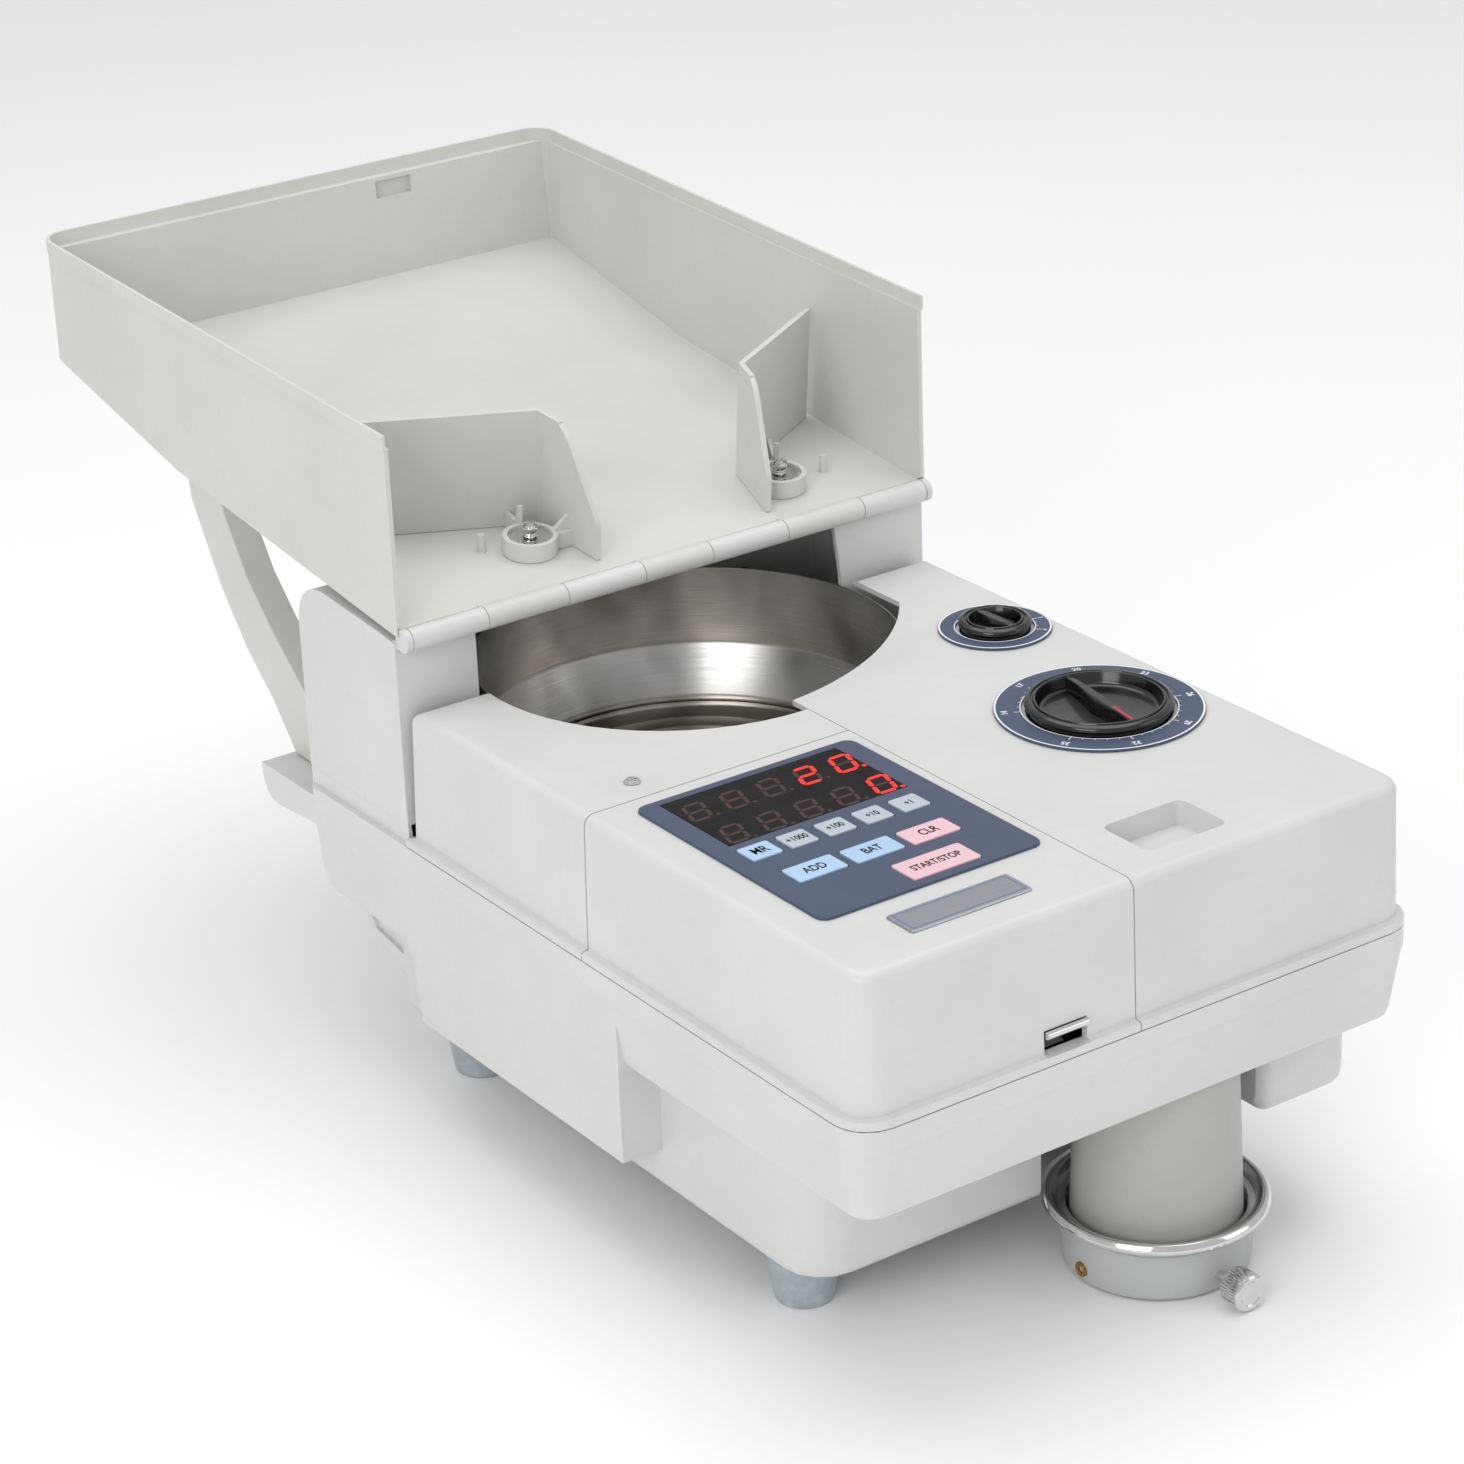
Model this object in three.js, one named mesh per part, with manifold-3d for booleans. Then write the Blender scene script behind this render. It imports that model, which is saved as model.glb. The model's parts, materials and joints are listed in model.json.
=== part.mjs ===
// Coin sorting machine: a bench-top counter with a folding coin tray, a round
// feed bowl, two setting dials, a keypad under a hinged cover and a bag outlet.
// Millimetres. X is the operator's right, Y points to the back, Z points up.
// The origin is on the table, under the middle of the whole machine.
import * as THREE from "three";
import { mergeGeometries, mergeVertices } from "three/addons/utils/BufferGeometryUtils.js";
import Module from "manifold-3d";

const wasm = await Module();
wasm.setup();

// ---- Driving dimensions -------------------------------------------------
// Lengths along Y are counted from the front edge of the body's lip.
const BODY_HALF = 175; // half the width over the lip
const BODY_REAR = 505; // back face of the body and its hood
const SEAM_Z = 168; // joint between the base tub and the covers
const COVER_TOP = 246; // flat top of the covers
const COVER_REAR = 401.2; // back edge of the covers
const WALL = 3; // wall of the covers
const SHELL = 3.6; // wall of the base tub
const GAP = 0.35; // clearance between pieces that rest on each other
const SKIRT_Z = 116.5; // lower edge of the base tub's skirt
const SEAM_X = -7; // seam between the left covers and the right cover
const SEAM_Y = 231; // seam between the display cover and the bowl cover
const BOWL = { x: -3, y: 382, r: 117, rim: 241, foot: 196, throat: 105 };
const DISC = { r: 103.6, top: 165, thick: 5 };
const PLATE = { z: 150, thick: 2.5 };
const HINGE = { y: 396, z: 286, r: 6.3, pin: 2.5, half: 171 };
const TRAY_HALF = 172.6;
const TRAY_WALL = 2.6;
const TRAY_REAR = 784;
const FLOOR = { y: 398.6, z: 287.6, kink: 633, slope: 0.108 }; // underside of the tray floor
const DECK_SLOPE = Math.atan(FLOOR.slope);
const GUIDE_H = 68;
const TUBE = { x: 47.8, y: 52.4, top: 149.4, foot: 4.5 };
const FRONT_SCREW_Y = -20; // face of the thumb screw, the foremost point
const MID_Y = (FRONT_SCREW_Y + TRAY_REAR) / 2;
const DIAL_BIG = { x: 107.8, y: 169.3, ring: 54.6, hole: 40.2 };
const DIAL_SMALL = { x: 133.4, y: 287.6, ring: 30.9, hole: 21.4 };
const PANEL = { x0: -147, x1: -14.5, y0: 62.5, y1: 220 };
const WINDOW = { x0: -134.5, x1: -27.5, y0: 155, y1: 214.5 };
const FEET = { left: -115.5, right: 79.5, front: 132, rear: 438, low: 15.6, high: 20.5, top: 36.6 };
const BELT_Z = 95; // lower face of the drive belt and its pulleys

// ---- Materials ----------------------------------------------------------
const look = (color, roughness, metalness = 0) =>
  new THREE.MeshStandardMaterial({ color, roughness, metalness });
const BODY_GREY = look(0xe2e2df, 0.45);
const TRAY_GREY = look(0xdadad6, 0.5);
const COLLAR_GREY = look(0xc9cccb, 0.45);
const FOOT_BLUE = look(0xa9b3b8, 0.7);
const SLATE = look(0x56627a, 0.45);
const BLACK = look(0x151515, 0.35);
const CHROME = look(0xd8d8d8, 0.12, 1);
const STEEL = look(0xa8a5a0, 0.3, 1);
const BRASS = look(0xa98a4a, 0.35, 1);
const RUBBER = look(0x222222, 0.8);
const COPPER = look(0x8a5a34, 0.5, 0.6);
const BOARD = look(0x2f6b45, 0.5);
const KEY_BLUE = look(0xb7d3ee, 0.5);
const KEY_GREY = look(0xc6cdd6, 0.5);
const KEY_PINK = look(0xf0c6ce, 0.5);
const GLASS = look(0x14090b, 0.1);

// ---- Solids: three.js shapes in, booleans through manifold-3d -----------
function solid(geometry) {
  const bare = geometry.index ? geometry.toNonIndexed() : geometry.clone();
  bare.deleteAttribute("normal");
  bare.deleteAttribute("uv");
  const merged = mergeVertices(bare, 1e-4);
  const vertProperties = new Float32Array(merged.attributes.position.array);
  const triVerts = new Uint32Array(merged.index.array);
  return new wasm.Manifold(new wasm.Mesh({ numProp: 3, vertProperties, triVerts }));
}

function geometryOf(body) {
  const mesh = body.getMesh();
  const geometry = new THREE.BufferGeometry();
  geometry.setAttribute("position", new THREE.BufferAttribute(new Float32Array(mesh.vertProperties), 3));
  geometry.setIndex(new THREE.BufferAttribute(new Uint32Array(mesh.triVerts), 1));
  const flat = geometry.toNonIndexed();
  flat.computeVertexNormals();
  return flat;
}

const join = (first, ...others) => others.reduce((sum, next) => sum.add(next), first);
const cut = (first, ...others) => others.reduce((rest, next) => rest.subtract(next), first);

function box(x0, x1, y0, y1, z0, z1) {
  const geometry = new THREE.BoxGeometry(x1 - x0, y1 - y0, z1 - z0);
  return solid(geometry.translate((x0 + x1) / 2, (y0 + y1) / 2, (z0 + z1) / 2));
}

function extrude(shape, depth, curveSegments = 6) {
  return new THREE.ExtrudeGeometry(shape, { depth, bevelEnabled: false, curveSegments });
}

const AXES = {
  x: [new THREE.Vector3(0, 1, 0), new THREE.Vector3(0, 0, 1), new THREE.Vector3(1, 0, 0)],
  y: [new THREE.Vector3(0, 0, 1), new THREE.Vector3(1, 0, 0), new THREE.Vector3(0, 1, 0)],
  z: [new THREE.Vector3(1, 0, 0), new THREE.Vector3(0, 1, 0), new THREE.Vector3(0, 0, 1)],
};

// A shape drawn in the plane across an axis, extruded from one place to another.
// Across x the plane is (y, z); across y it is (z, x); across z it is (x, y).
function prism(axis, shape, from, to, curveSegments) {
  const geometry = extrude(shape, to - from, curveSegments);
  geometry.applyMatrix4(new THREE.Matrix4().makeBasis(...AXES[axis]));
  const shift = AXES[axis][2].clone().multiplyScalar(from);
  return solid(geometry.translate(shift.x, shift.y, shift.z));
}

function outline(points) {
  return new THREE.Shape(points.map(([x, y]) => new THREE.Vector2(x, y)));
}

// A rod, plug or cone along an axis, from one place to another.
function round(axis, centre, from, to, radius, segments = 32, radiusTo = radius) {
  const geometry = new THREE.CylinderGeometry(radiusTo, radius, to - from, segments);
  geometry.translate(0, (from + to) / 2, 0);
  const turn = {
    x: [new THREE.Vector3(0, 1, 0), new THREE.Vector3(1, 0, 0), new THREE.Vector3(0, 0, -1)],
    y: [new THREE.Vector3(1, 0, 0), new THREE.Vector3(0, 1, 0), new THREE.Vector3(0, 0, 1)],
    z: [new THREE.Vector3(0, 1, 0), new THREE.Vector3(0, 0, 1), new THREE.Vector3(1, 0, 0)],
  };
  geometry.applyMatrix4(new THREE.Matrix4().makeBasis(...turn[axis]));
  const place = { x: [0, ...centre], y: [centre[0], 0, centre[1]], z: [...centre, 0] };
  return solid(geometry.translate(...place[axis]));
}

// A turned solid about the vertical through (x, y); the profile is [radius, z].
function turned(x, y, profile, segments) {
  const closed = [...profile, profile[0]].map(([r, z]) => new THREE.Vector2(r, z));
  if (THREE.ShapeUtils.area(closed) < 0) closed.reverse();
  const lathe = new THREE.LatheGeometry(closed, segments);
  lathe.rotateX(Math.PI / 2);
  return solid(lathe.translate(x, y, 0));
}

// A rectangle with its own radius at each corner, as evenly numbered points.
function rectanglePoints({ x0, x1, y0, y1 }, radii, inset, steps) {
  const [x2, x3, y2, y3] = [x0 + inset, x1 - inset, y0 + inset, y1 - inset];
  const corners = [[x2, y2, 1, 1], [x3, y2, -1, 1], [x3, y3, -1, -1], [x2, y3, 1, -1]];
  const points = [];
  corners.forEach(([x, y, sx, sy], i) => {
    const r = Math.max(radii[i] - inset, 1);
    const start = Math.PI + (i * Math.PI) / 2;
    for (let k = 0; k <= steps; k += 1) {
      const a = start + (k / steps) * (Math.PI / 2);
      points.push(new THREE.Vector2(x + sx * r + r * Math.cos(a), y + sy * r + r * Math.sin(a)));
    }
  });
  return points;
}

// A block whose outline steps in and out as it rises; levels are [z, inset].
function block(area, radii, levels, steps = 4) {
  const rings = levels.map(([, inset]) => rectanglePoints(area, radii, inset, steps));
  const count = rings[0].length;
  const positions = [];
  rings.forEach((ring, i) => ring.forEach((p) => positions.push(p.x, p.y, levels[i][0])));
  const index = [];
  for (let i = 0; i + 1 < rings.length; i += 1) {
    for (let k = 0; k < count; k += 1) {
      const next = (k + 1) % count;
      const [a, b] = [i * count + k, i * count + next];
      index.push(a, b, b + count, a, b + count, a + count);
    }
  }
  const top = (rings.length - 1) * count;
  THREE.ShapeUtils.triangulateShape(rings[0], []).forEach(([a, b, c]) => {
    index.push(a, c, b);
  });
  THREE.ShapeUtils.triangulateShape(rings[rings.length - 1], []).forEach(([a, b, c]) => {
    index.push(top + a, top + b, top + c);
  });
  const geometry = new THREE.BufferGeometry();
  geometry.setAttribute("position", new THREE.Float32BufferAttribute(positions, 3));
  geometry.setIndex(index);
  return solid(geometry);
}

// Levels of a quarter-round edge that starts at (z, inset) and turns inwards.
function roundedEdge(z, inset, radius, steps) {
  const levels = [];
  for (let k = 0; k <= steps; k += 1) {
    const a = (k / steps) * (Math.PI / 2);
    levels.push([z + radius * Math.sin(a), inset + radius * (1 - Math.cos(a))]);
  }
  return levels;
}

// ---- The scene graph ----------------------------------------------------
const machine = new THREE.Group();
machine.position.set(0, -MID_Y, 0);

function piece(name, body, material, parent = machine) {
  const mesh = new THREE.Mesh(geometryOf(body), material);
  mesh.name = name;
  parent.add(mesh);
}

// ---- Base: tub, bottom plate, feet --------------------------------------
const SKIRT = { x0: -BODY_HALF, x1: BODY_HALF, y0: 0, y1: BODY_REAR };
const SKIRT_RADII = [20, 20, 6, 6];
const LOWER = { x0: -148, x1: 112, y0: 80, y1: 503 };
const RIGHT_BLOCK = { x0: 106, x1: 165.4, y0: 39, y1: 400 };
const RIGHT_RADII = [9, 9, 10, 10];
const SIDE = { x: 172, y0: 207, z: 62 };
const LOWER_Z = 37;
const BAG_ROOM = 59.5; // radius kept free around the outlet for the bag and its ring

function sideBody(x0, x1, shrink) {
  const s = shrink;
  const shape = new THREE.Shape();
  shape.moveTo(SIDE.y0 + s, SIDE.z + s);
  shape.lineTo(402 - s, SIDE.z + s);
  shape.lineTo(405.5 - s, 92);
  shape.quadraticCurveTo(408 - s, 108 + s, 424, 108 + s);
  shape.lineTo(488, 108 + s);
  shape.quadraticCurveTo(499 - s, 109 + s, BODY_REAR - 4 - s, 124);
  shape.lineTo(BODY_REAR - s, 146);
  shape.lineTo(BODY_REAR - s, SEAM_Z - 5);
  shape.lineTo(SIDE.y0 + s, SEAM_Z - 5);
  return prism("x", shape, x0, x1, 4);
}

function lowerBody(inset, floor) {
  const levels = inset
    ? [[floor, inset], [SEAM_Z, inset]]
    : [[floor, 7], [floor + 2.2, 2.4], [floor + 7, 0], [SKIRT_Z + 6, 0]];
  const rise = new THREE.Shape();
  rise.moveTo(456 - inset, 20);
  rise.lineTo(458 - inset, 58 + inset);
  rise.lineTo(464 - inset, 65 + inset);
  rise.lineTo(490 - inset, 71 + inset);
  rise.quadraticCurveTo(500 - inset, 73 + inset, 504 - inset, 84);
  rise.lineTo(530, 112);
  rise.lineTo(530, 20);
  return block(LOWER, [26, 10, 8, 8], levels, 4).subtract(prism("x", rise, -160, 130, 4));
}

function shelf() {
  const shape = new THREE.Shape();
  shape.moveTo(BODY_REAR - 4, 143);
  shape.lineTo(548, 139);
  shape.quadraticCurveTo(560, 139, 563, 152);
  shape.lineTo(563.5, 159.6);
  shape.lineTo(BODY_REAR - 4, 159.6);
  return prism("x", shape, -172, 172, 4);
}

function baseTub() {
  const skirt = block(SKIRT, SKIRT_RADII, [
    [SKIRT_Z, 9.4],
    [SKIRT_Z + 1.2, 7.4],
    [SKIRT_Z + 4, 6.4],
    [SEAM_Z - 13.2, 0.9],
    [SEAM_Z - 12.8, 0.3],
    [SEAM_Z - 0.4, 0.3],
  ]);
  const band = box(-171.6, 171.6, 402.5, BODY_REAR, SEAM_Z - 6, SEAM_Z + 10.5);
  const right = block(RIGHT_BLOCK, RIGHT_RADII, [[63, 9], [64.5, 4], [69, 0.8], [74, 0], [SKIRT_Z + 6, 0]]);
  const outside = join(skirt, band, sideBody(-SIDE.x, 100, 0), shelf(), lowerBody(0, LOWER_Z), right,
    box(100, 172, 380, BODY_REAR - 6, 108, SEAM_Z - 8));
  const latchCatch = box(-58, -42, 3, 16, SEAM_Z - 9, SEAM_Z - 0.8);
  const hollow = cut(join(
    block(SKIRT, SKIRT_RADII, [[SKIRT_Z + 4.5, 10.4], [SEAM_Z + 20, SHELL + 0.8]]),
    sideBody(-SIDE.x + SHELL, 96, SHELL),
    lowerBody(SHELL, LOWER_Z + SHELL),
    block(RIGHT_BLOCK, RIGHT_RADII, [[67.5, 8], [73, SHELL], [SKIRT_Z + 8, SHELL]]),
    box(96, 168, 384, BODY_REAR - 10, 111.6, SEAM_Z),
  ), round("z", [TUBE.x, TUBE.y], 30, SKIRT_Z + 4.5, BAG_ROOM + SHELL, 32));
  const bagRoom = round("z", [TUBE.x, TUBE.y], 27, SKIRT_Z, BAG_ROOM, 32);
  return cut(cut(outside, hollow, bagRoom).add(latchCatch),
    box(-118, 82, 118, 408, 30, 40),
    round("z", [TUBE.x, TUBE.y], 111, TUBE.top + 3, 41.4, 32),
    box(-168, 168, 406, 480, SEAM_Z - 9, SEAM_Z + 30),
    prism("x", outline([[461, 71.5], [490, 76.5], [497, 87], [497, 104], [461, 104]]), -152, -145.8),
    round("x", [467, 91], -150, -140, 4.5, 16));
}

piece("base_tub", baseTub(), BODY_GREY);
piece("bottom_plate", cut(box(-117, 81, 119, 407, LOWER_Z + 0.5, LOWER_Z + 2.5),
  ...[150, 200, 250, 300, 350].map((y) => box(-60, 20, y, y + 8, 30, 40))), STEEL);

for (const side of ["left", "right"]) {
  for (const end of ["front", "rear"]) {
    const centre = [FEET[side], FEET[end]];
    const cone = round("z", centre, 0, FEET.top, FEET.low, 24, FEET.high);
    piece(`foot_${end}_${side}`, cut(cone, round("z", centre, -1, 6, 5, 12)), FOOT_BLUE);
  }
}

// ---- Covers: one shell, cut along its seams -----------------------------
const COVER_AREA = { x0: -BODY_HALF, x1: BODY_HALF, y0: 0, y1: COVER_REAR };
const COVER_RADII = [20, 20, 1, 1];

function coverShell() {
  const outside = block(COVER_AREA, COVER_RADII, [
    [SEAM_Z + GAP, 0.2],
    [SEAM_Z + 3.6, 0],
    [SEAM_Z + 4.6, 0.8],
    [SEAM_Z + 5.4, 4.2],
    ...roundedEdge(COVER_TOP - 6, 6, 6, 5),
  ], 5);
  const inside = block(COVER_AREA, COVER_RADII, [
    [SEAM_Z - 5, 8],
    [COVER_TOP - 7, 10],
    [COVER_TOP - WALL, 13],
  ], 2);
  const openRear = box(-162, 162, COVER_REAR - 20, COVER_REAR + 5, SEAM_Z - 5, COVER_TOP - WALL);
  return cut(outside, inside, openRear);
}

const SHELL_COVER = coverShell();
const TALL = [SEAM_Z - 10, COVER_TOP + 10];

function coverPart(x0, x1, y0, y1) {
  return SHELL_COVER.intersect(box(x0, x1, y0, y1, ...TALL));
}

// The right cover reaches further over the bowl than the left one does.
function rightBowlEdge() {
  const sweep = { x: -25, y: 455, r: 176 };
  const shape = new THREE.Shape();
  const start = Math.asin((SEAM_X - 10 - sweep.x) / sweep.r);
  const end = Math.asin((117 - sweep.x) / sweep.r);
  shape.absarc(sweep.x, sweep.y, sweep.r, start - Math.PI / 2, end - Math.PI / 2, false);
  shape.lineTo(117, COVER_REAR + 20);
  shape.lineTo(SEAM_X - 10, COVER_REAR + 20);
  return prism("z", shape, ...TALL, 24);
}

function bowlCover() {
  const shell = coverPart(-BODY_HALF - 1, SEAM_X - 0.3, SEAM_Y + 0.5, COVER_REAR + 1);
  return cut(shell,
    round("z", [-9, 381], ...TALL, 115.2, 56),
    box(-100, 0, 381, COVER_REAR + 20, COVER_TOP - 10, COVER_TOP + 10),
    round("z", [-128, 249], 240, 260, 2.2, 12));
}

const RECESS = { x0: 18, x1: 69, y0: 25, y1: 61, depth: 12 };

function rightCover() {
  const { x0, x1, y0, y1, depth } = RECESS;
  const radii = [5, 5, 5, 5];
  const cup = block({ x0: x0 - 2.5, x1: x1 + 2.5, y0: y0 - 2.5, y1: y1 + 2.5 }, radii,
    [[COVER_TOP - depth - 2.5, 3], [COVER_TOP - 1, 0]], 2);
  const pocket = block({ x0, x1, y0, y1 }, radii,
    [[COVER_TOP - depth, 2.5], [COVER_TOP + 1, 0]], 3);
  const shell = coverPart(SEAM_X + 0.3, BODY_HALF + 1, -1, COVER_REAR + 1);
  return cut(shell.add(cup), pocket, rightBowlEdge(),
    round("z", [DIAL_BIG.x, DIAL_BIG.y], ...TALL, DIAL_BIG.hole - 2, 40),
    round("z", [DIAL_SMALL.x, DIAL_SMALL.y], ...TALL, DIAL_SMALL.hole - 2, 32));
}

const LATCH = { x0: -63, x1: -37, z0: SEAM_Z + 4.4, z1: SEAM_Z + 17 };

function displayCover() {
  const shell = coverPart(-BODY_HALF - 1, SEAM_X - 0.3, -1, SEAM_Y - 0.5);
  return cut(shell,
    box(PANEL.x0 + 6, PANEL.x1 - 8, PANEL.y0 + 3.4, PANEL.y1 - 12, COVER_TOP - 10, COVER_TOP + 10),
    box(LATCH.x0, LATCH.x1, -10, 25, LATCH.z0, LATCH.z1));
}

piece("bowl_cover", bowlCover(), BODY_GREY);
piece("right_cover", rightCover(), BODY_GREY);
piece("display_cover", displayCover(), BODY_GREY);
piece("cover_screw", cut(
  join(round("z", [-128, 249], COVER_TOP - 14, COVER_TOP - 0.8, 1.7, 12),
    round("z", [-128, 249], COVER_TOP + GAP, COVER_TOP + 1.6, 4.6, 20, 3.6),
    round("z", [-128, 249], COVER_TOP - 1, COVER_TOP + 1, 1.7, 12)),
  box(-131, -125, 248.4, 249.6, COVER_TOP + 0.9, COVER_TOP + 3),
  box(-128.6, -127.4, 246, 252, COVER_TOP + 0.9, COVER_TOP + 3)), CHROME);

// ---- Keypad -------------------------------------------------------------
const PANEL_TOP = COVER_TOP + 1.5;
const KEYS = [
  ["key_recall", -126.8, 140.8, 17.6, 15.2, KEY_BLUE],
  ["key_preset_1000", -105, 140.4, 16, 15.2, KEY_GREY],
  ["key_preset_100", -82.8, 139.6, 16, 15.2, KEY_GREY],
  ["key_preset_10", -60.7, 139, 16, 15.2, KEY_GREY],
  ["key_preset_1", -38.7, 138.4, 16, 15.2, KEY_GREY],
  ["key_add", -117.6, 108.6, 28.4, 16, KEY_BLUE],
  ["key_batch", -84.3, 107.7, 28.4, 16, KEY_BLUE],
  ["key_clear", -51.1, 106.8, 28.4, 16, KEY_PINK],
  ["key_start_stop", -68.5, 78, 40.4, 19.2, KEY_PINK],
];

function keyShape(x, y, width, depth, grow, z0, z1) {
  const area = { x0: x - width / 2 - grow, x1: x + width / 2 + grow, y0: y - depth / 2 - grow,
    y1: y + depth / 2 + grow };
  return block(area, [1.2, 1.2, 1.2, 1.2], [[z0, 0], [z1, 0]], 2);
}

function keypadOverlay() {
  const plate = block(PANEL, [6, 6, 6, 6], [[COVER_TOP + GAP, 0], [PANEL_TOP, 0.3]], 3);
  const backing = box(PANEL.x0 + 7, PANEL.x1 - 9, PANEL.y0 + 4.2, PANEL.y1 - 13, COVER_TOP - 2.6,
    COVER_TOP + 1);
  const holes = KEYS.map(([, x, y, w, d]) => keyShape(x, y, w, d, 0.4, COVER_TOP - 5, COVER_TOP + 5));
  return cut(plate.add(backing), ...holes,
    box(WINDOW.x0 - 0.4, WINDOW.x1 + 0.4, WINDOW.y0 - 0.4, WINDOW.y1 + 0.4, COVER_TOP + 0.2, COVER_TOP + 5),
    box(-132, -34, 160, 206, COVER_TOP - 5, COVER_TOP + 5));
}

piece("keypad_overlay", keypadOverlay(), SLATE);
piece("display_window", block(WINDOW, [2, 2, 2, 2],
  [[COVER_TOP + 0.55, 0], [PANEL_TOP, 0]], 2), GLASS);
KEYS.forEach(([name, x, y, width, depth, material]) => {
  const cap = keyShape(x, y, width, depth, 0, COVER_TOP - 2, PANEL_TOP + 0.7);
  piece(name, cap, material);
});
piece("display_board", join(
  box(-140, -26, 72, 210, COVER_TOP - 9, COVER_TOP - 7.4),
  ...[0, 1, 2, 3, 4].flatMap((i) => [0, 1].map((row) =>
    box(-128 + i * 18, -113 + i * 18, 163 + row * 23, 183 + row * 23, COVER_TOP - 8, COVER_TOP - 4)))),
BOARD);
piece("name_plate", block({ x0: -121.5, x1: -50, y0: 27.5, y1: 48.5 }, [1.5, 1.5, 1.5, 1.5],
  [[COVER_TOP + GAP, 0], [COVER_TOP + 1.2, 0.5]], 2), look(0xb9bcc2, 0.35, 0.8));

// ---- Cover latch: a chrome lever with a rolled lip ----------------------
function latchLever() {
  const hook = outline([[8, LATCH.z1 - 4.2], [9.6, LATCH.z1 - 4.2], [13, SEAM_Z + 2.6],
    [17, SEAM_Z + 2.6], [17, SEAM_Z + 4.2], [14.2, SEAM_Z + 4.2], [11, LATCH.z1 - 1],
    [8, LATCH.z1 - 1]]);
  return join(prism("x", hook, LATCH.x0 + 2, LATCH.x1 - 2),
    box(LATCH.x0 + 0.6, LATCH.x1 - 0.6, 4.2, 9, LATCH.z1 - 3, LATCH.z1 - 1.2),
    round("x", [3.4, LATCH.z1 - 2.2], LATCH.x0 + 0.6, LATCH.x1 - 0.6, 2, 16));
}

piece("latch_lever", latchLever(), CHROME);

// ---- Rear hood with the fixed hinge knuckles ----------------------------
const KNUCKLES = [-HINGE.half, -121, -71, -22, 22, 72, 124, HINGE.half];
const HOOD = { x: 172, front: 402, top: 289, bottom: SEAM_Z + 10.9, wall: 3 };
const MOUTH = { x0: -123, x1: 115 };
const INLET = { x0: 92, x1: 120, z0: 196, z1: 220 };
const SWITCH = { x0: 70, x1: 86, z0: 197, z1: 219, tilt: 8 };

function hoodProfile(inset) {
  const shape = new THREE.Shape();
  shape.moveTo(HOOD.front + inset, HOOD.bottom - (inset ? 10 : 0));
  shape.lineTo(HOOD.front + inset, 283 - inset);
  shape.lineTo(418, 285 - inset);
  shape.lineTo(478, HOOD.top - inset);
  shape.quadraticCurveTo(BODY_REAR - 4 - inset, HOOD.top - 1 - inset, BODY_REAR - inset, 266);
  shape.lineTo(BODY_REAR - inset, HOOD.bottom - (inset ? 10 : 0));
  return shape;
}

function hingeSpans(first) {
  const rods = [];
  for (let i = first; i + 1 < KNUCKLES.length; i += 2) {
    rods.push([KNUCKLES[i] + 0.25, KNUCKLES[i + 1] - 0.25]);
  }
  return rods;
}

const PIN_HALF = HINGE.half - 6; // the pin stops inside the capped end knuckles
const PIN_HOLE = round("x", [HINGE.y, HINGE.z], -PIN_HALF - 0.6, PIN_HALF + 0.6, HINGE.pin + 0.4, 16);

// The shallow ring groove that sets off the end cap of the hinge.
function capGroove(side) {
  const middle = side * (HINGE.half - 4);
  const band = round("x", [HINGE.y, HINGE.z], middle - 0.45, middle + 0.45, HINGE.r + 3, 20);
  const core = round("x", [HINGE.y, HINGE.z], middle - 1, middle + 1, HINGE.r - 0.8, 20);
  return band.subtract(core).subtract(box(-200, 200, HINGE.y + 3, HINGE.y + 20, 270, 300));
}

function rearHood() {
  const shell = prism("x", hoodProfile(0), -HOOD.x, HOOD.x, 5)
    .subtract(prism("x", hoodProfile(HOOD.wall), -HOOD.x + HOOD.wall, HOOD.x - HOOD.wall, 4));
  const mouth = outline([[HOOD.bottom - 20, MOUTH.x0], [HOOD.bottom - 20, MOUTH.x1],
    [COVER_TOP, MOUTH.x1], [277, MOUTH.x1 - 4], [277, MOUTH.x0]]);
  const web = outline([[HINGE.y, HINGE.z - 4.5], [404, 279], [406, 284], [HINGE.y, HINGE.z]]);
  const knuckles = hingeSpans(0).flatMap(([x0, x1]) => [
    round("x", [HINGE.y, HINGE.z], x0, x1, HINGE.r, 20),
    prism("x", web, x0, x1),
  ]);
  const grooves = [-1, 1].map((side) => capGroove(side));
  return cut(join(cut(shell, prism("y", mouth, 395, 412)), ...knuckles), PIN_HOLE, ...grooves,
    box(INLET.x0 - 0.4, INLET.x1 + 0.4, 495, 510, INLET.z0 - 0.4, INLET.z1 + 0.4),
    box(SWITCH.x0 - 0.4, SWITCH.x1 + 0.4, 495, 510, SWITCH.z0 - 0.4, SWITCH.z1 + 0.4));
}

piece("rear_hood", rearHood(), BODY_GREY);
piece("hinge_pin", round("x", [HINGE.y, HINGE.z], -PIN_HALF, PIN_HALF, HINGE.pin, 16), STEEL);

// ---- Power inlet and switch ---------------------------------------------
function powerInlet() {
  const { x0, x1, z0, z1 } = INLET;
  const body = join(box(x0, x1, 480, BODY_REAR + 0.4, z0, z1),
    box(x0 - 3, x1 + 3, BODY_REAR + 0.35, BODY_REAR + 2.4, z0 - 3, z1 + 3));
  const socket = box(x0 + 2.5, x1 - 2.5, 489, BODY_REAR + 5, z0 + 4, z1 - 3);
  const pins = [-7, 0, 7].map((dx, i) => {
    const [x, z] = [(x0 + x1) / 2 + dx, (z0 + z1) / 2 + (i === 1 ? 3 : -1)];
    return box(x - 1, x + 1, 486, 501, z - 2.5, z + 2.5);
  });
  return join(cut(body, socket), ...pins);
}

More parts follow.
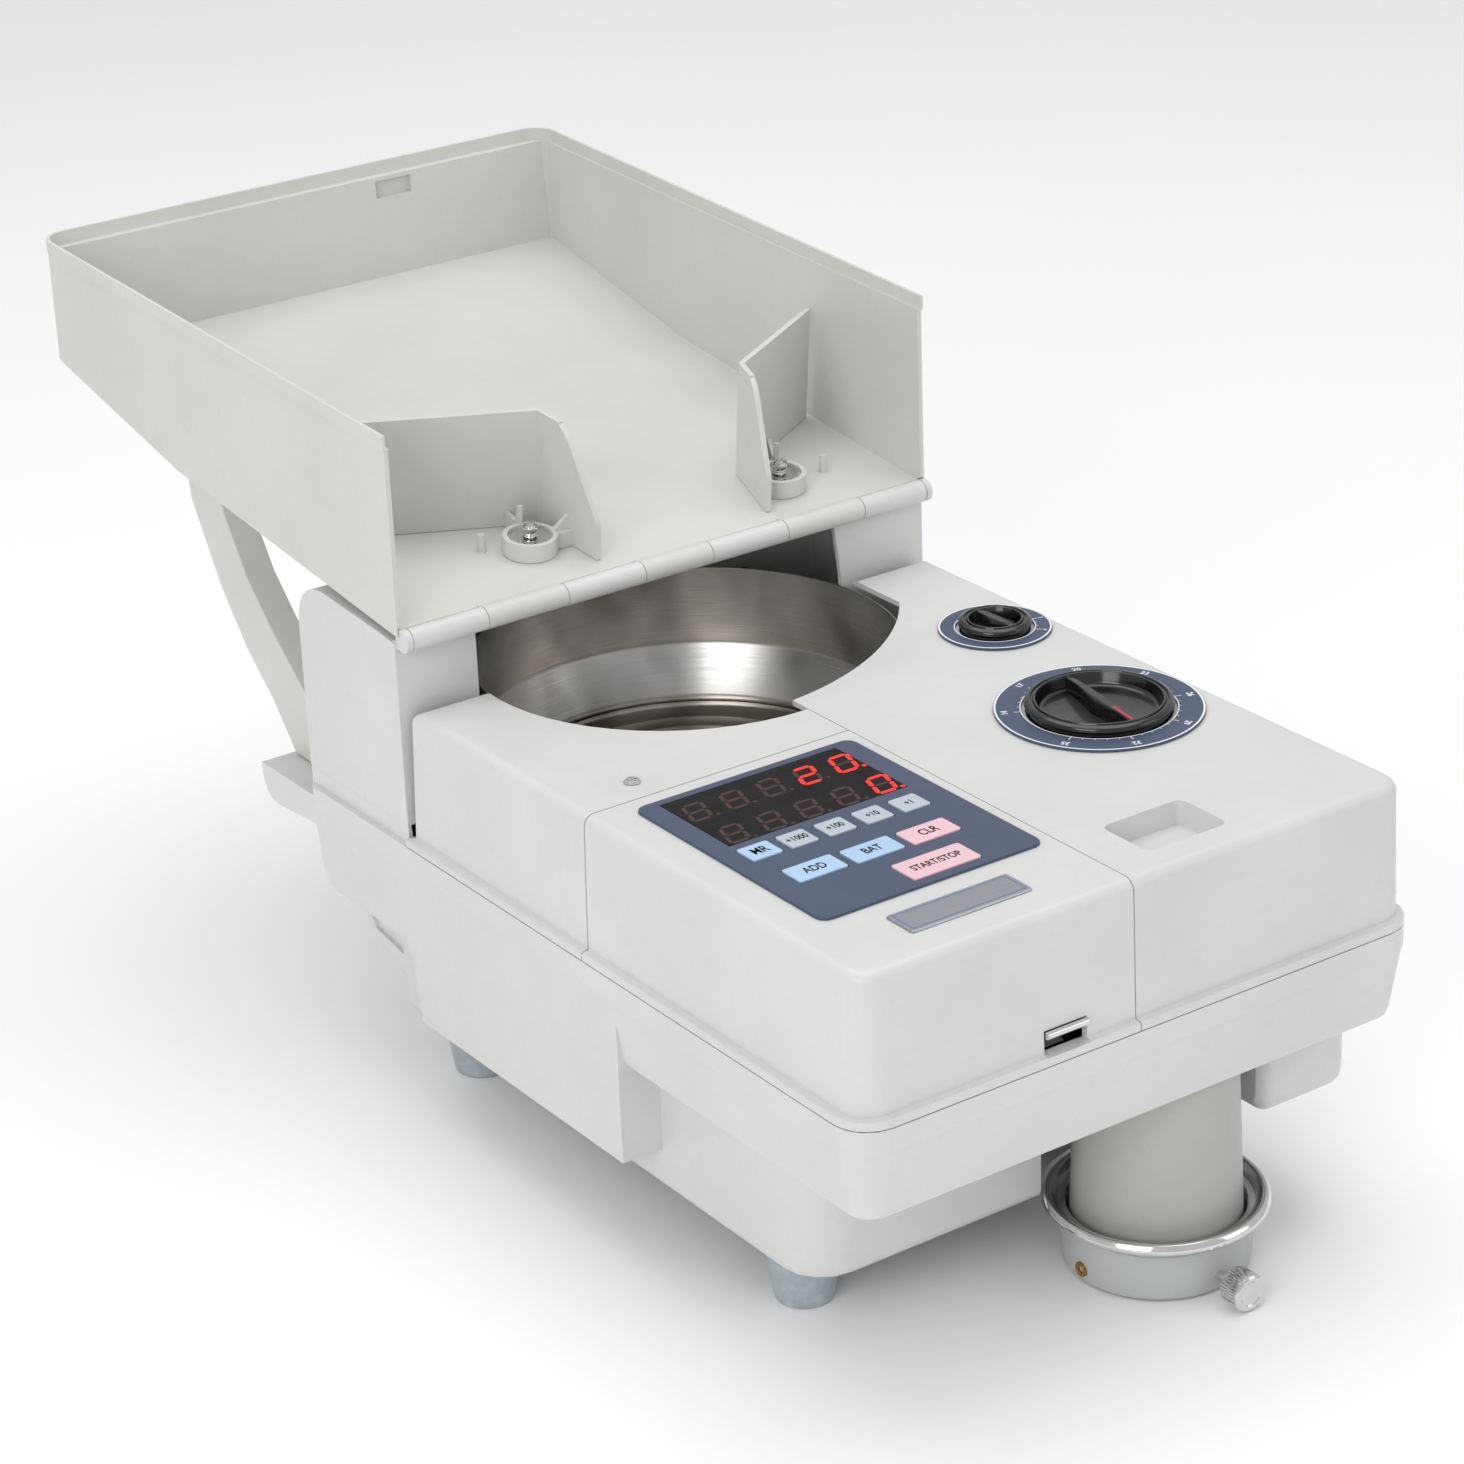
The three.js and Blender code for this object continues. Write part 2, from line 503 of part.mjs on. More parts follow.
function switchHousing() {
  const { x0, x1, z0, z1 } = SWITCH;
  const body = join(box(x0, x1, 482, BODY_REAR + 0.4, z0, z1),
    box(x0 - 2, x1 + 2, BODY_REAR + 0.35, BODY_REAR + 2, z0 - 2, z1 + 2));
  return cut(body, box(x0 + 1.8, x1 - 1.8, 493, BODY_REAR + 5, z0 + 1.8, z1 - 1.8));
}

function switchRocker() {
  const [y, z] = [BODY_REAR - 3, (SWITCH.z0 + SWITCH.z1) / 2];
  const tilt = THREE.MathUtils.degToRad(-SWITCH.tilt);
  const turn = ([dy, dz]) =>
    [y + dy * Math.cos(tilt) - dz * Math.sin(tilt), z + dy * Math.sin(tilt) + dz * Math.cos(tilt)];
  const shape = outline([[-3, -4], [-3, 4], [4.6, 8.2], [3.4, 0], [4.6, -8.2]].map(turn));
  return prism("x", shape, SWITCH.x0 + 2.2, SWITCH.x1 - 2.2);
}

piece("power_inlet", powerInlet(), BLACK);
piece("switch_housing", switchHousing(), BLACK);
piece("switch_rocker", switchRocker(), look(0x8e1d1d, 0.4));

// ---- Feed bowl: drum, disc, shaft and drive -----------------------------
const MOTOR = { x: 62, y: 300, r: 32, pulley: 13 };
const PULLEY_R = 44;

piece("bowl_drum", turned(BOWL.x, BOWL.y, [
  [BOWL.r, BOWL.foot],
  [BOWL.throat, 168],
  [BOWL.throat, PLATE.z + PLATE.thick + GAP],
  [BOWL.throat + 1.2, PLATE.z + PLATE.thick + GAP],
  [BOWL.throat + 1.2, 167.6],
  [BOWL.r + 1.2, BOWL.foot - 0.4],
  [BOWL.r + 1.2, BOWL.rim],
  [BOWL.r, BOWL.rim],
], 40), STEEL);

piece("feed_disc", cut(
  turned(BOWL.x, BOWL.y, [[0, DISC.top - DISC.thick], [DISC.r, DISC.top - DISC.thick],
    [DISC.r, DISC.top - 1], [DISC.r - 1, DISC.top], [30, DISC.top], [22, DISC.top + 4],
    [0, DISC.top + 5]], 40),
  round("z", [BOWL.x, BOWL.y], 150, DISC.top + 2, 6.3, 16)), CHROME);

piece("disc_shaft", turned(BOWL.x, BOWL.y, [[0, 80], [6, 80], [6, BELT_Z], [PULLEY_R, BELT_Z],
  [PULLEY_R, BELT_Z + 12], [12, BELT_Z + 12], [12, BELT_Z + 16], [6, BELT_Z + 16], [6, DISC.top + 1.6],
  [0, DISC.top + 1.6]], 24), STEEL);

piece("drive_motor", join(
  round("z", [MOTOR.x, MOTOR.y], LOWER_Z + 6, BELT_Z - 4, MOTOR.r, 24),
  box(MOTOR.x - 38, MOTOR.x + 38, MOTOR.y - 12, MOTOR.y + 12, LOWER_Z + 4.2, LOWER_Z + 10),
), look(0x6d7276, 0.4, 0.8));

piece("motor_pulley", turned(MOTOR.x, MOTOR.y, [[0, BELT_Z - 3.6], [5, BELT_Z - 3.6],
  [5, BELT_Z], [MOTOR.pulley, BELT_Z], [MOTOR.pulley, BELT_Z + 12], [0, BELT_Z + 12]], 16), STEEL);

// A belt that wraps two pulleys of radius ra and rb, a thickness t proud of them.
function beltLoop(a, ra, b, rb, offset) {
  const [dx, dy] = [b.x - a.x, b.y - a.y];
  const span = Math.hypot(dx, dy);
  const heading = Math.atan2(dy, dx);
  const lean = Math.acos((ra - rb) / span);
  const shape = new THREE.Shape();
  shape.absarc(a.x, a.y, ra + offset, heading + lean, heading - lean + 2 * Math.PI, false);
  shape.absarc(b.x, b.y, rb + offset, heading - lean, heading + lean, false);
  return shape;
}

function belt(a, ra, b, rb, z0, z1, thickness) {
  return cut(prism("z", beltLoop(a, ra, b, rb, GAP + thickness), z0, z1, 8),
    prism("z", beltLoop(a, ra, b, rb, GAP), z0 - 1, z1 + 1, 8));
}

piece("drive_belt", belt(BOWL, PULLEY_R, MOTOR, MOTOR.pulley, BELT_Z + 2, BELT_Z + 10, 2), RUBBER);

// ---- Chassis plate and coin track ---------------------------------------
const ROLLER = { r: 11, z0: 172, z1: 186 };
const ROLLER_REAR = { x: -75, y: 250 };
const ROLLER_FRONT = { x: -75, y: 60 };

piece("chassis_plate", cut(box(-160, 160, 14, 396, PLATE.z, PLATE.z + PLATE.thick),
  round("z", [BOWL.x, BOWL.y], 140, 160, 14, 24),
  round("z", [TUBE.x, TUBE.y], 140, 160, 36, 32),
  box(-162, -150, 12, 30, 140, 160)), STEEL);

piece("track_plate", cut(join(box(-110, -40, 30, 262, 158, 160.5),
  box(-110, 80, 30, 64, 158, 160.5),
  ...[[-106, 34], [-106, 230], [-44, 34]].map(([x, y]) =>
    box(x, x + 8, y, y + 8, PLATE.z + PLATE.thick + GAP, 159))),
  round("z", [TUBE.x, TUBE.y], 150, 170, 15, 24),
  round("z", [BOWL.x, BOWL.y], 150, 170, 119, 40)), STEEL);

for (const [name, at] of [["track_roller_rear", ROLLER_REAR], ["track_roller_front", ROLLER_FRONT]]) {
  piece(name, turned(at.x, at.y, [[0, 161], [3, 161], [3, ROLLER.z0], [ROLLER.r, ROLLER.z0],
    [ROLLER.r, ROLLER.z1], [3, ROLLER.z1], [3, ROLLER.z1 + 4], [0, ROLLER.z1 + 4]], 16), STEEL);
}
piece("track_belt", belt(ROLLER_REAR, ROLLER.r, ROLLER_FRONT, ROLLER.r, 174, 184, 2), RUBBER);
piece("diameter_rail", join(box(-36, -31, 60, 240, 161, 170), box(-32, 20, 150, 162, 161, 164)), STEEL);
piece("transformer", join(box(-128, -72, 124, 196, LOWER_Z + 4.2, 92),
  box(-122, -78, 112, 208, 48, 86)), COPPER);
piece("power_board", join(box(-50, 60, 118, 210, LOWER_Z + 8, LOWER_Z + 9.6),
  box(-40, -16, 122, 150, LOWER_Z + 9, 66), box(0, 20, 124, 140, LOWER_Z + 9, 62),
  box(20, 50, 150, 180, LOWER_Z + 9, 70),
  ...[[-46, 122], [54, 122], [-46, 204], [54, 204]].map(([x, y]) =>
    box(x - 3, x + 3, y - 3, y + 3, LOWER_Z + 4.2, LOWER_Z + 9))), BOARD);

// ---- Setting dials ------------------------------------------------------
function dialRing({ x, y, ring, hole }) {
  return turned(x, y, [[hole - 0.2, COVER_TOP + GAP], [ring, COVER_TOP + GAP],
    [ring, COVER_TOP + 1.6], [hole, COVER_TOP + 1.6]], 32);
}

piece("diameter_scale", dialRing(DIAL_BIG), SLATE);
piece("thickness_scale", dialRing(DIAL_SMALL), SLATE);

// A dished knob with a grip bar across it; the bar's nose is the pointer.
function dialKnob({ x, y, hole }, barAngle, stem) {
  const r = hole - 1.2;
  const dish = hole - 9;
  const cup = turned(x, y, [[0, COVER_TOP - 8], [hole - 3, COVER_TOP - 8], [hole - 3, COVER_TOP + 1.9],
    [r, COVER_TOP + 1.9], [r - 0.6, COVER_TOP + 4.2], [r - 2.4, COVER_TOP + 5.2],
    [dish + 1.5, COVER_TOP + 5.2], [dish, COVER_TOP - 2], [0, COVER_TOP - 3]], 28);
  const shaft = round("z", [x, y], stem, COVER_TOP - 7, 4, 12);
  const half = dish + 1;
  const bar = new THREE.Shape();
  bar.moveTo(-half, -2.6);
  bar.quadraticCurveTo(0, -5.4, half, -2.6);
  bar.lineTo(half, 2.6);
  bar.quadraticCurveTo(0, 5.4, -half, 2.6);
  const geometry = extrude(bar, 12, 5).rotateZ(barAngle).translate(x, y, COVER_TOP - 5);
  return join(cup, shaft, solid(geometry));
}

const BIG_BAR = THREE.MathUtils.degToRad(-99.5);
const SMALL_BAR = THREE.MathUtils.degToRad(-88);

piece("diameter_dial", dialKnob(DIAL_BIG, BIG_BAR, 176), BLACK);
piece("thickness_dial", dialKnob(DIAL_SMALL, SMALL_BAR, 215), BLACK);

// ---- Coin outlet: tube, bag ring, collar, screws ------------------------
const COLLAR = { z0: 0.8, z1: 30, r: 49, bore: 45.8 };
const OUTLET_SCREW_Z = 10.5;
const INSERT_Z = 9;

function outletTube() {
  const { x, y, top, foot } = TUBE;
  return turned(x, y, [[36.4, top], [40.2, top], [40.2, 124], [41, 112], [45, foot],
    [42, foot], [37.6, 114]], 32);
}

function bagCollar() {
  const { x, y } = TUBE;
  const { z0, z1, r, bore } = COLLAR;
  const ring = turned(x, y, [[bore, z0], [r - 1.6, z0], [r - 0.6, z0 + 4], [r, z0 + 12], [r, z1],
    [bore, z1]], 32);
  return cut(ring, round("y", [x, OUTLET_SCREW_Z], -5, 12, 3.4, 12),
    round("x", [y, INSERT_Z], -10, 6, 4.4, 12));
}

function bagRing() {
  const { x, y } = TUBE;
  return turned(x, y, [[46, 30.5], [49.2, 30.5], [52.4, 33], [54.2, 31.6], [56.6, 31.8], [58, 34.4],
    [56.6, 37.6], [54, 38.2], [51.4, 35.4], [49, 32.6], [46, 32.4]], 32);
}

function thumbScrew() {
  const axis = [TUBE.x, OUTLET_SCREW_Z];
  return join(round("y", axis, FRONT_SCREW_Y, -6.6, 10, 24), round("y", axis, -7, 6.2, 3, 12));
}

piece("outlet_tube", outletTube(), BODY_GREY);
piece("bag_collar", bagCollar(), COLLAR_GREY);
piece("bag_ring", bagRing(), CHROME);
const INSERT_X = TUBE.x - COLLAR.r;
piece("collar_insert", cut(round("x", [TUBE.y, INSERT_Z], INSERT_X - 0.9, INSERT_X + 2.6, 4.05, 16),
  round("x", [TUBE.y, INSERT_Z], INSERT_X - 2, INSERT_X + 1, 2, 6)), BRASS);
piece("thumb_screw", thumbScrew(), CHROME);

// ---- Coin tray: walls, sloping floor, swivelling guides, legs -----------
const KINK_Z = FLOOR.z + FLOOR.slope * (FLOOR.kink - FLOOR.y);
const PEGS = [[-84.5, 455], [130.5, 438]]; // stops that limit the guides' swing
const floorAt = (y) => FLOOR.z + FLOOR.slope * (y - FLOOR.y) + TRAY_WALL;

function trayProfile(wall) {
  const open = wall * 20; // the inner profile runs out through the front and the top
  return outline([
    [FLOOR.y - open, FLOOR.z + wall - FLOOR.slope * open],
    [FLOOR.kink, KINK_Z + wall],
    [776 - wall, 343 + wall],
    [TRAY_REAR - 1.2 - wall, 414.8 + open],
    [FLOOR.y - open, 398.4 + open],
  ]);
}

// The tray's plan view: square at the front, rounded where the walls meet at the rear.
function trayPlan(inset, rear) {
  const area = { x0: -TRAY_HALF, x1: TRAY_HALF, y0: 300, y1: rear };
  return block(area, [1, 1, 15, 15], [[250, inset], [440, inset]], 4);
}

const CATCH = { x0: 46, x1: 74.5, z: 407 }; // moulded catch under the rear rim

function tray() {
  const outer = prism("x", trayProfile(0), -200, 200).intersect(trayPlan(1, TRAY_REAR + 1));
  const inner = prism("x", trayProfile(TRAY_WALL), -200, 200)
    .intersect(trayPlan(TRAY_WALL + 1, TRAY_REAR + 1));
  const rimBand = outline([[398, 390.4], [TRAY_REAR - 1.8, 407], [TRAY_REAR, 415], [398, 398.6]]);
  const rim = prism("x", rimBand, -200, 200).intersect(trayPlan(0, TRAY_REAR));
  const ledge = prism("x", outline([[380, 390.4], [TRAY_REAR - 1.9, 407.2], [TRAY_REAR - 1.9, 440],
    [380, 440]]), -200, 200).intersect(trayPlan(1.9, TRAY_REAR));
  const knuckles = hingeSpans(1).flatMap(([x0, x1]) => [
    round("x", [HINGE.y, HINGE.z], x0, x1, HINGE.r, 20),
    prism("x", outline([[HINGE.y, HINGE.z + 1.2], [HINGE.y, HINGE.z + HINGE.r], [400, 291.4], [404, 290.7],
      [404, 288.6]]), x0, x1),
  ]);
  const clear = hingeSpans(0).map(([x0, x1]) =>
    round("x", [HINGE.y, HINGE.z], x0 - 0.4, x1 + 0.4, HINGE.r + 0.8, 20));
  const { x0, x1, z } = CATCH;
  return cut(join(outer, rim), inner, ledge, ...clear)
    .add(join(...knuckles))
    .subtract(PIN_HOLE)
    .add(box(x0, x1, TRAY_REAR - 6.4, TRAY_REAR - 1.9, z - 2.6, z))
    .subtract(box(x0 + 2, x1 - 2, TRAY_REAR - 8, TRAY_REAR - 4, z - 13.4, z - 2.6))
    .add(join(...PEGS.map(([x, y]) => round("z", [x, y], floorAt(y) - 1, floorAt(y) + 10, 2.4, 12, 2))));
}

piece("coin_tray", tray(), TRAY_GREY);

const deck = new THREE.Group();
deck.position.set(0, FLOOR.y, FLOOR.z + TRAY_WALL);
deck.rotation.x = DECK_SLOPE;
machine.add(deck);

// Deck coordinates: x, then distance up the floor from its front edge, then height above it.
const GUIDES = {
  left: { pivot: [-62.5, 43], fold: [-40, 70], tip: [-37, 14.5], end: [-131, 107], horn: [-57, 76.5] },
  right: { pivot: [97, 35.5], fold: [88, 62], tip: [74, 13.5], end: [164, 104], horn: [118, 75] },
};

function wallStrip(points, thickness) {
  const path = points.map(([x, y]) => new THREE.Vector2(x, y));
  const [a, b] = path;
  const side = new THREE.Vector2(-(b.y - a.y), b.x - a.x).normalize().multiplyScalar(thickness / 2);
  return new THREE.Shape([a.clone().add(side), b.clone().add(side), b.clone().sub(side),
    a.clone().sub(side)]);
}

// A sheet that stands on the deck: its shape is [distance along the heading, height].
function upright(shape, [x, y], heading, thickness) {
  const sheet = extrude(shape, thickness, 4);
  sheet.applyMatrix4(new THREE.Matrix4().makeBasis(
    new THREE.Vector3(Math.cos(heading), Math.sin(heading), 0),
    new THREE.Vector3(0, 0, 1),
    new THREE.Vector3(Math.sin(heading), -Math.cos(heading), 0),
  ));
  const half = thickness / 2;
  return solid(sheet.translate(x - half * Math.sin(heading), y + half * Math.cos(heading), 0));
}

// What is trimmed off the wing so that its top sweeps down to a low nose.
function wingTrim(fold, heading, length) {
  const slant = new THREE.Shape();
  slant.moveTo(length * 0.36, GUIDE_H + 1);
  slant.lineTo(length * 0.36, GUIDE_H - 1);
  slant.quadraticCurveTo(length * 0.52, GUIDE_H - 5, length * 0.64, GUIDE_H - 18);
  slant.lineTo(length - 2.5, 24);
  slant.lineTo(length, 18);
  slant.lineTo(length + 5, 17);
  slant.lineTo(length + 5, GUIDE_H + 1);
  return upright(slant, fold, heading, 10);
}

const BOSS = { r: 15, pocket: 12.4, rim: 10.4, floor: 7.6 };

// A rib from the boss to a wall; a narrow horn rises at its wall end or at its boss end.
function bossRib(pivot, target, atWall) {
  const heading = Math.atan2(target[1] - pivot[1], target[0] - pivot[0]);
  const reach = Math.hypot(target[0] - pivot[0], target[1] - pivot[1]);
  const near = BOSS.r - 1.6;
  const top = atWall
    ? [[near, BOSS.rim], [reach - 9, BOSS.rim + 0.6], [reach - 1.5, 17.5], [reach, 17.5]]
    : [[near, 21], [near + 1.4, 21], [near + 4.6, BOSS.rim], [reach, BOSS.rim - 1]];
  return upright(outline([[near, GAP], ...top, [reach, GAP]]), pivot, heading, 2.6);
}

function coinGuide({ pivot, fold, tip, end, horn }) {
  const floor = GAP;
  const heading = Math.atan2(tip[1] - fold[1], tip[0] - fold[0]);
  const length = Math.hypot(tip[1] - fold[1], tip[0] - fold[0]);
  const wall = prism("z", wallStrip([end, fold], 3), floor, GUIDE_H);
  const post = round("z", fold, floor, GUIDE_H, 1.5, 12);
  const wing = prism("z", wallStrip([fold, tip], 3), floor, GUIDE_H);
  const boss = turned(pivot[0], pivot[1], [[3.4, floor], [BOSS.r, floor], [BOSS.r, BOSS.rim],
    [BOSS.pocket, BOSS.rim], [BOSS.pocket, BOSS.floor], [3.4, BOSS.floor]], 24);
  const level = [fold[0] + (tip[0] - fold[0]) * 0.52, fold[1] + (tip[1] - fold[1]) * 0.52];
  const aim = Math.atan2(level[1] - pivot[1], level[0] - pivot[0]);
  const start = [pivot[0] + 13.4 * Math.cos(aim), pivot[1] + 13.4 * Math.sin(aim)];
  const skirt = prism("z", wallStrip([start, level], 10), floor, BOSS.rim - 1);
  return join(cut(join(wall, post, wing), wingTrim(fold, heading, length)), boss, skirt,
    bossRib(pivot, level, true), bossRib(pivot, horn, false));
}

function guideScrew([x, y]) {
  return turned(x, y, [[0, GAP], [2.6, GAP], [2.6, 8], [10.8, 8], [10.8, 9.4], [3.8, 9.4],
    [3.8, 13.4], [5, 13.8], [5, 16], [3.6, 17], [0, 17]], 16);
}

for (const side of ["left", "right"]) {
  piece(`guide_${side}`, coinGuide(GUIDES[side]), TRAY_GREY, deck);
  piece(`guide_screw_${side}`, guideScrew(GUIDES[side].pivot), CHROME, deck);
}

// The legs are curved channels that stand on the shelf and carry the tray.
function trayLeg(x0, x1, open) {
  const rear = [[665, 315], [660, 284], [633, 238], [609, 209], [581, 185], [560, 160.3]];
  const front = [[522, 160.3], [520, 172], [537, 198], [550, 208], [574, 227.5], [601, 254], [622, 286],
    [630, 310]];
  const body = prism("x", outline([...rear, ...front]), x0, x1);
  const inner = [[655, 330], [653, 284], [627, 240], [604, 213], [577, 190], [556, 168], [530, 168],
    [528, 174], [541, 193], [554, 203], [579, 223], [607, 251], [629, 286], [636, 330]];
  const pocket = prism("x", outline(inner), open > 0 ? x0 + 4 : x0 - 1, open > 0 ? x1 + 1 : x1 - 4);
  const above = outline([[500, FLOOR.z + FLOOR.slope * 100 - 0.4], [FLOOR.kink, KINK_Z - 0.4],
    [700, 326.4], [700, 340], [500, 340]]);
  return cut(body, pocket, prism("x", above, x0 - 5, x1 + 5));
}

piece("tray_leg_left", trayLeg(-152, -134, 1), TRAY_GREY);
piece("tray_leg_right", trayLeg(134, 152, -1), TRAY_GREY);

export default machine;
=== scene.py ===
"""Coin sorting machine: the looks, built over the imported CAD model.

Metres, in the CAD's own frame: +X to the operator's right, +Y to the back, +Z up.
"""

import json
import math

import bmesh
import bpy
from mathutils import Matrix, Vector

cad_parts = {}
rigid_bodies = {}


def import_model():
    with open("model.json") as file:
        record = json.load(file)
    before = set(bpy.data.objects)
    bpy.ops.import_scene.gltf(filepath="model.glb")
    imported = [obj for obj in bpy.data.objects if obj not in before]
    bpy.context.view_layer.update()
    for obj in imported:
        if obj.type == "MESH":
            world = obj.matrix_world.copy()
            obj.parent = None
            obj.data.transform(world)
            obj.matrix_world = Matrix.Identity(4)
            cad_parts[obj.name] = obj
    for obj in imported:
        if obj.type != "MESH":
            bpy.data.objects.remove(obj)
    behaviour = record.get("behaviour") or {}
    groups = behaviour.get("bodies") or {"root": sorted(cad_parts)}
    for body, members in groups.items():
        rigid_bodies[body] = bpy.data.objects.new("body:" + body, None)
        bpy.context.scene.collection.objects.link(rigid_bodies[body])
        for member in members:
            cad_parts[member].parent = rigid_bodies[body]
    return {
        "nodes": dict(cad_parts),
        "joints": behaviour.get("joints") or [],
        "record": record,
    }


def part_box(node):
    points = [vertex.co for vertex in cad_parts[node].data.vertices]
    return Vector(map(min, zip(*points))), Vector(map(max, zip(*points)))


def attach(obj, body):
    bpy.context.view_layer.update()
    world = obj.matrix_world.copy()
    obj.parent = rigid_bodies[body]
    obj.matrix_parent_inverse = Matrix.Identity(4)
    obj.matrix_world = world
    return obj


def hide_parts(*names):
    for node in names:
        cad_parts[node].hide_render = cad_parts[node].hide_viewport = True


for leftover in list(bpy.data.objects):
    bpy.data.objects.remove(leftover)

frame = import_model()
bpy.context.view_layer.update()
MM = 0.001
JOINTS = {joint["name"]: joint for joint in frame["joints"]}
SLOTS = {part["node"]: part["material_slot"] for part in frame["record"]["subparts"]}

# ---- Camera: the photograph's own viewpoint ------------------------------
AZIMUTH, ELEVATION, ROLL = (math.radians(a) for a in (-34.17, 24.04, -2.31))
CAMERA_PLACE = (-1.1329, -1.7037, 1.1026)
FOCAL_LENGTH_MM, SENSOR_MM = 101.04, 36


def place_camera():
    back = Vector((math.sin(AZIMUTH) * math.cos(ELEVATION),
                   -math.cos(AZIMUTH) * math.cos(ELEVATION), math.sin(ELEVATION)))
    right = Vector((0, 0, 1)).cross(back).normalized()
    up = back.cross(right)
    level, tilt = math.cos(ROLL), math.sin(ROLL)
    across = level * right + tilt * up
    upward = level * up - tilt * right
    data = bpy.data.cameras.new("camera")
    data.lens = FOCAL_LENGTH_MM
    data.sensor_width = SENSOR_MM
    camera = bpy.data.objects.new("camera", data)
    turn = Matrix((across, upward, back)).transposed().to_4x4()
    camera.matrix_world = Matrix.Translation(CAMERA_PLACE) @ turn
    bpy.context.scene.collection.objects.link(camera)
    bpy.context.scene.camera = camera


place_camera()


# ---- Node materials -------------------------------------------------------
def srgb(hexadecimal):
    parts = [int(hexadecimal[i:i + 2], 16) / 255 for i in (1, 3, 5)]
    return [c / 12.92 if c <= 0.04045 else ((c + 0.055) / 1.055) ** 2.4 for c in parts] + [1]


def dimmed(colour, share):
    """The same colour with its light scaled; the alpha stays 1."""
    return [c * share for c in colour[:3]] + [1]


class Shade:
    """A Principled material whose node chains are written one call at a time."""

    def __init__(self, name, rough=0.4, metal=0.0):
        self.material = bpy.data.materials.new(name)
        self.material.use_nodes = True
        self.nodes = self.material.node_tree.nodes
        self.links = self.material.node_tree.links
        self.shader = self.nodes["Principled BSDF"]
        self.shader.inputs["Roughness"].default_value = rough
        self.shader.inputs["Metallic"].default_value = metal
        self.place = self.nodes.new("ShaderNodeTexCoord").outputs["Object"]

    def feed(self, node, values):
        for key, value in values.items():
            if hasattr(value, "is_output"):
                self.links.new(value, node.inputs[key])
            else:
                node.inputs[key].default_value = value

    def noise(self, scale, detail=3, place=None, rough=0.5):
        node = self.nodes.new("ShaderNodeTexNoise")
        self.feed(node, {"Vector": place or self.place, "Scale": scale, "Detail": detail,
                         "Roughness": rough})
        return node.outputs["Fac"]

    def stretched(self, scale):
        node = self.nodes.new("ShaderNodeMapping")
        self.feed(node, {"Vector": self.place, "Scale": scale})
        return node.outputs["Vector"]

    def around(self, centre, turns, rise, spread):
        """A place that runs round a vertical axis: (angle, height, distance out)."""
        shift = self.nodes.new("ShaderNodeVectorMath")
        shift.operation = "SUBTRACT"
        self.feed(shift, {0: self.place, 1: (centre[0], centre[1], 0)})
        parts = self.nodes.new("ShaderNodeSeparateXYZ")
        self.links.new(shift.outputs[0], parts.inputs[0])
        x, y, z = parts.outputs
        angle = self.math("ARCTAN2", y, x)
        out = self.math("SQRT", self.math("ADD", self.math("MULTIPLY", x, x),
                                          self.math("MULTIPLY", y, y)))
        join = self.nodes.new("ShaderNodeCombineXYZ")
        self.feed(join, {0: self.math("MULTIPLY", angle, turns), 1: self.math("MULTIPLY", z, rise),
                         2: self.math("MULTIPLY", out, spread)})
        return join.outputs[0]

    def math(self, operation, a, b=0.0):
        node = self.nodes.new("ShaderNodeMath")
        node.operation = operation
        self.feed(node, {0: a, 1: b})
        return node.outputs[0]

    def ramp(self, value, low, high, start=0.0, end=1.0):
        node = self.nodes.new("ShaderNodeMapRange")
        self.feed(node, {"Value": value, "From Min": low, "From Max": high, "To Min": start,
                         "To Max": end})
        return node.outputs["Result"]

    def mix(self, factor, first, second):
        node = self.nodes.new("ShaderNodeMix")
        node.data_type = "RGBA"
        self.feed(node, {"Factor": factor})
        for socket, value in ((node.inputs[6], first), (node.inputs[7], second)):
            if hasattr(value, "is_output"):
                self.links.new(value, socket)
            else:
                socket.default_value = value
        return node.outputs[2]

    def colour(self, value):
        self.links.new(value, self.shader.inputs["Base Color"])

    def roughness(self, value):
        self.links.new(value, self.shader.inputs["Roughness"])

    def bump(self, height, distance, strength=1.0):
        node = self.nodes.new("ShaderNodeBump")
        self.feed(node, {"Height": height, "Distance": distance, "Strength": strength})
        self.links.new(node.outputs["Normal"], self.shader.inputs["Normal"])


def moulded(name, tone, rough, grain=0.00003, scale=1400, coat=0.0, gloss=0.5):
    """Moulded plastic: spark-eroded grain, faint flow clouds, scuffs that shine."""
    shade = Shade(name, rough)
    base = srgb(tone)
    clouds = shade.ramp(shade.noise(14, 4), 0.35, 0.7)
    dust = shade.ramp(shade.noise(160, 5, rough=0.65), 0.56, 0.78, 0, 0.5)
    clouded = shade.mix(clouds, base, dimmed(base, 0.94))
    shade.colour(shade.mix(dust, clouded, dimmed(base, 0.88)))
    scuffs = shade.noise(60, 4, shade.stretched((1, 6, 3)))
    shade.roughness(shade.ramp(scuffs, 0.3, 0.75, rough - 0.05, rough + 0.08))
    shade.shader.inputs["Coat Weight"].default_value = coat
    shade.shader.inputs["Specular IOR Level"].default_value = gloss
    shade.bump(shade.noise(scale, 2), grain)
    return shade.material


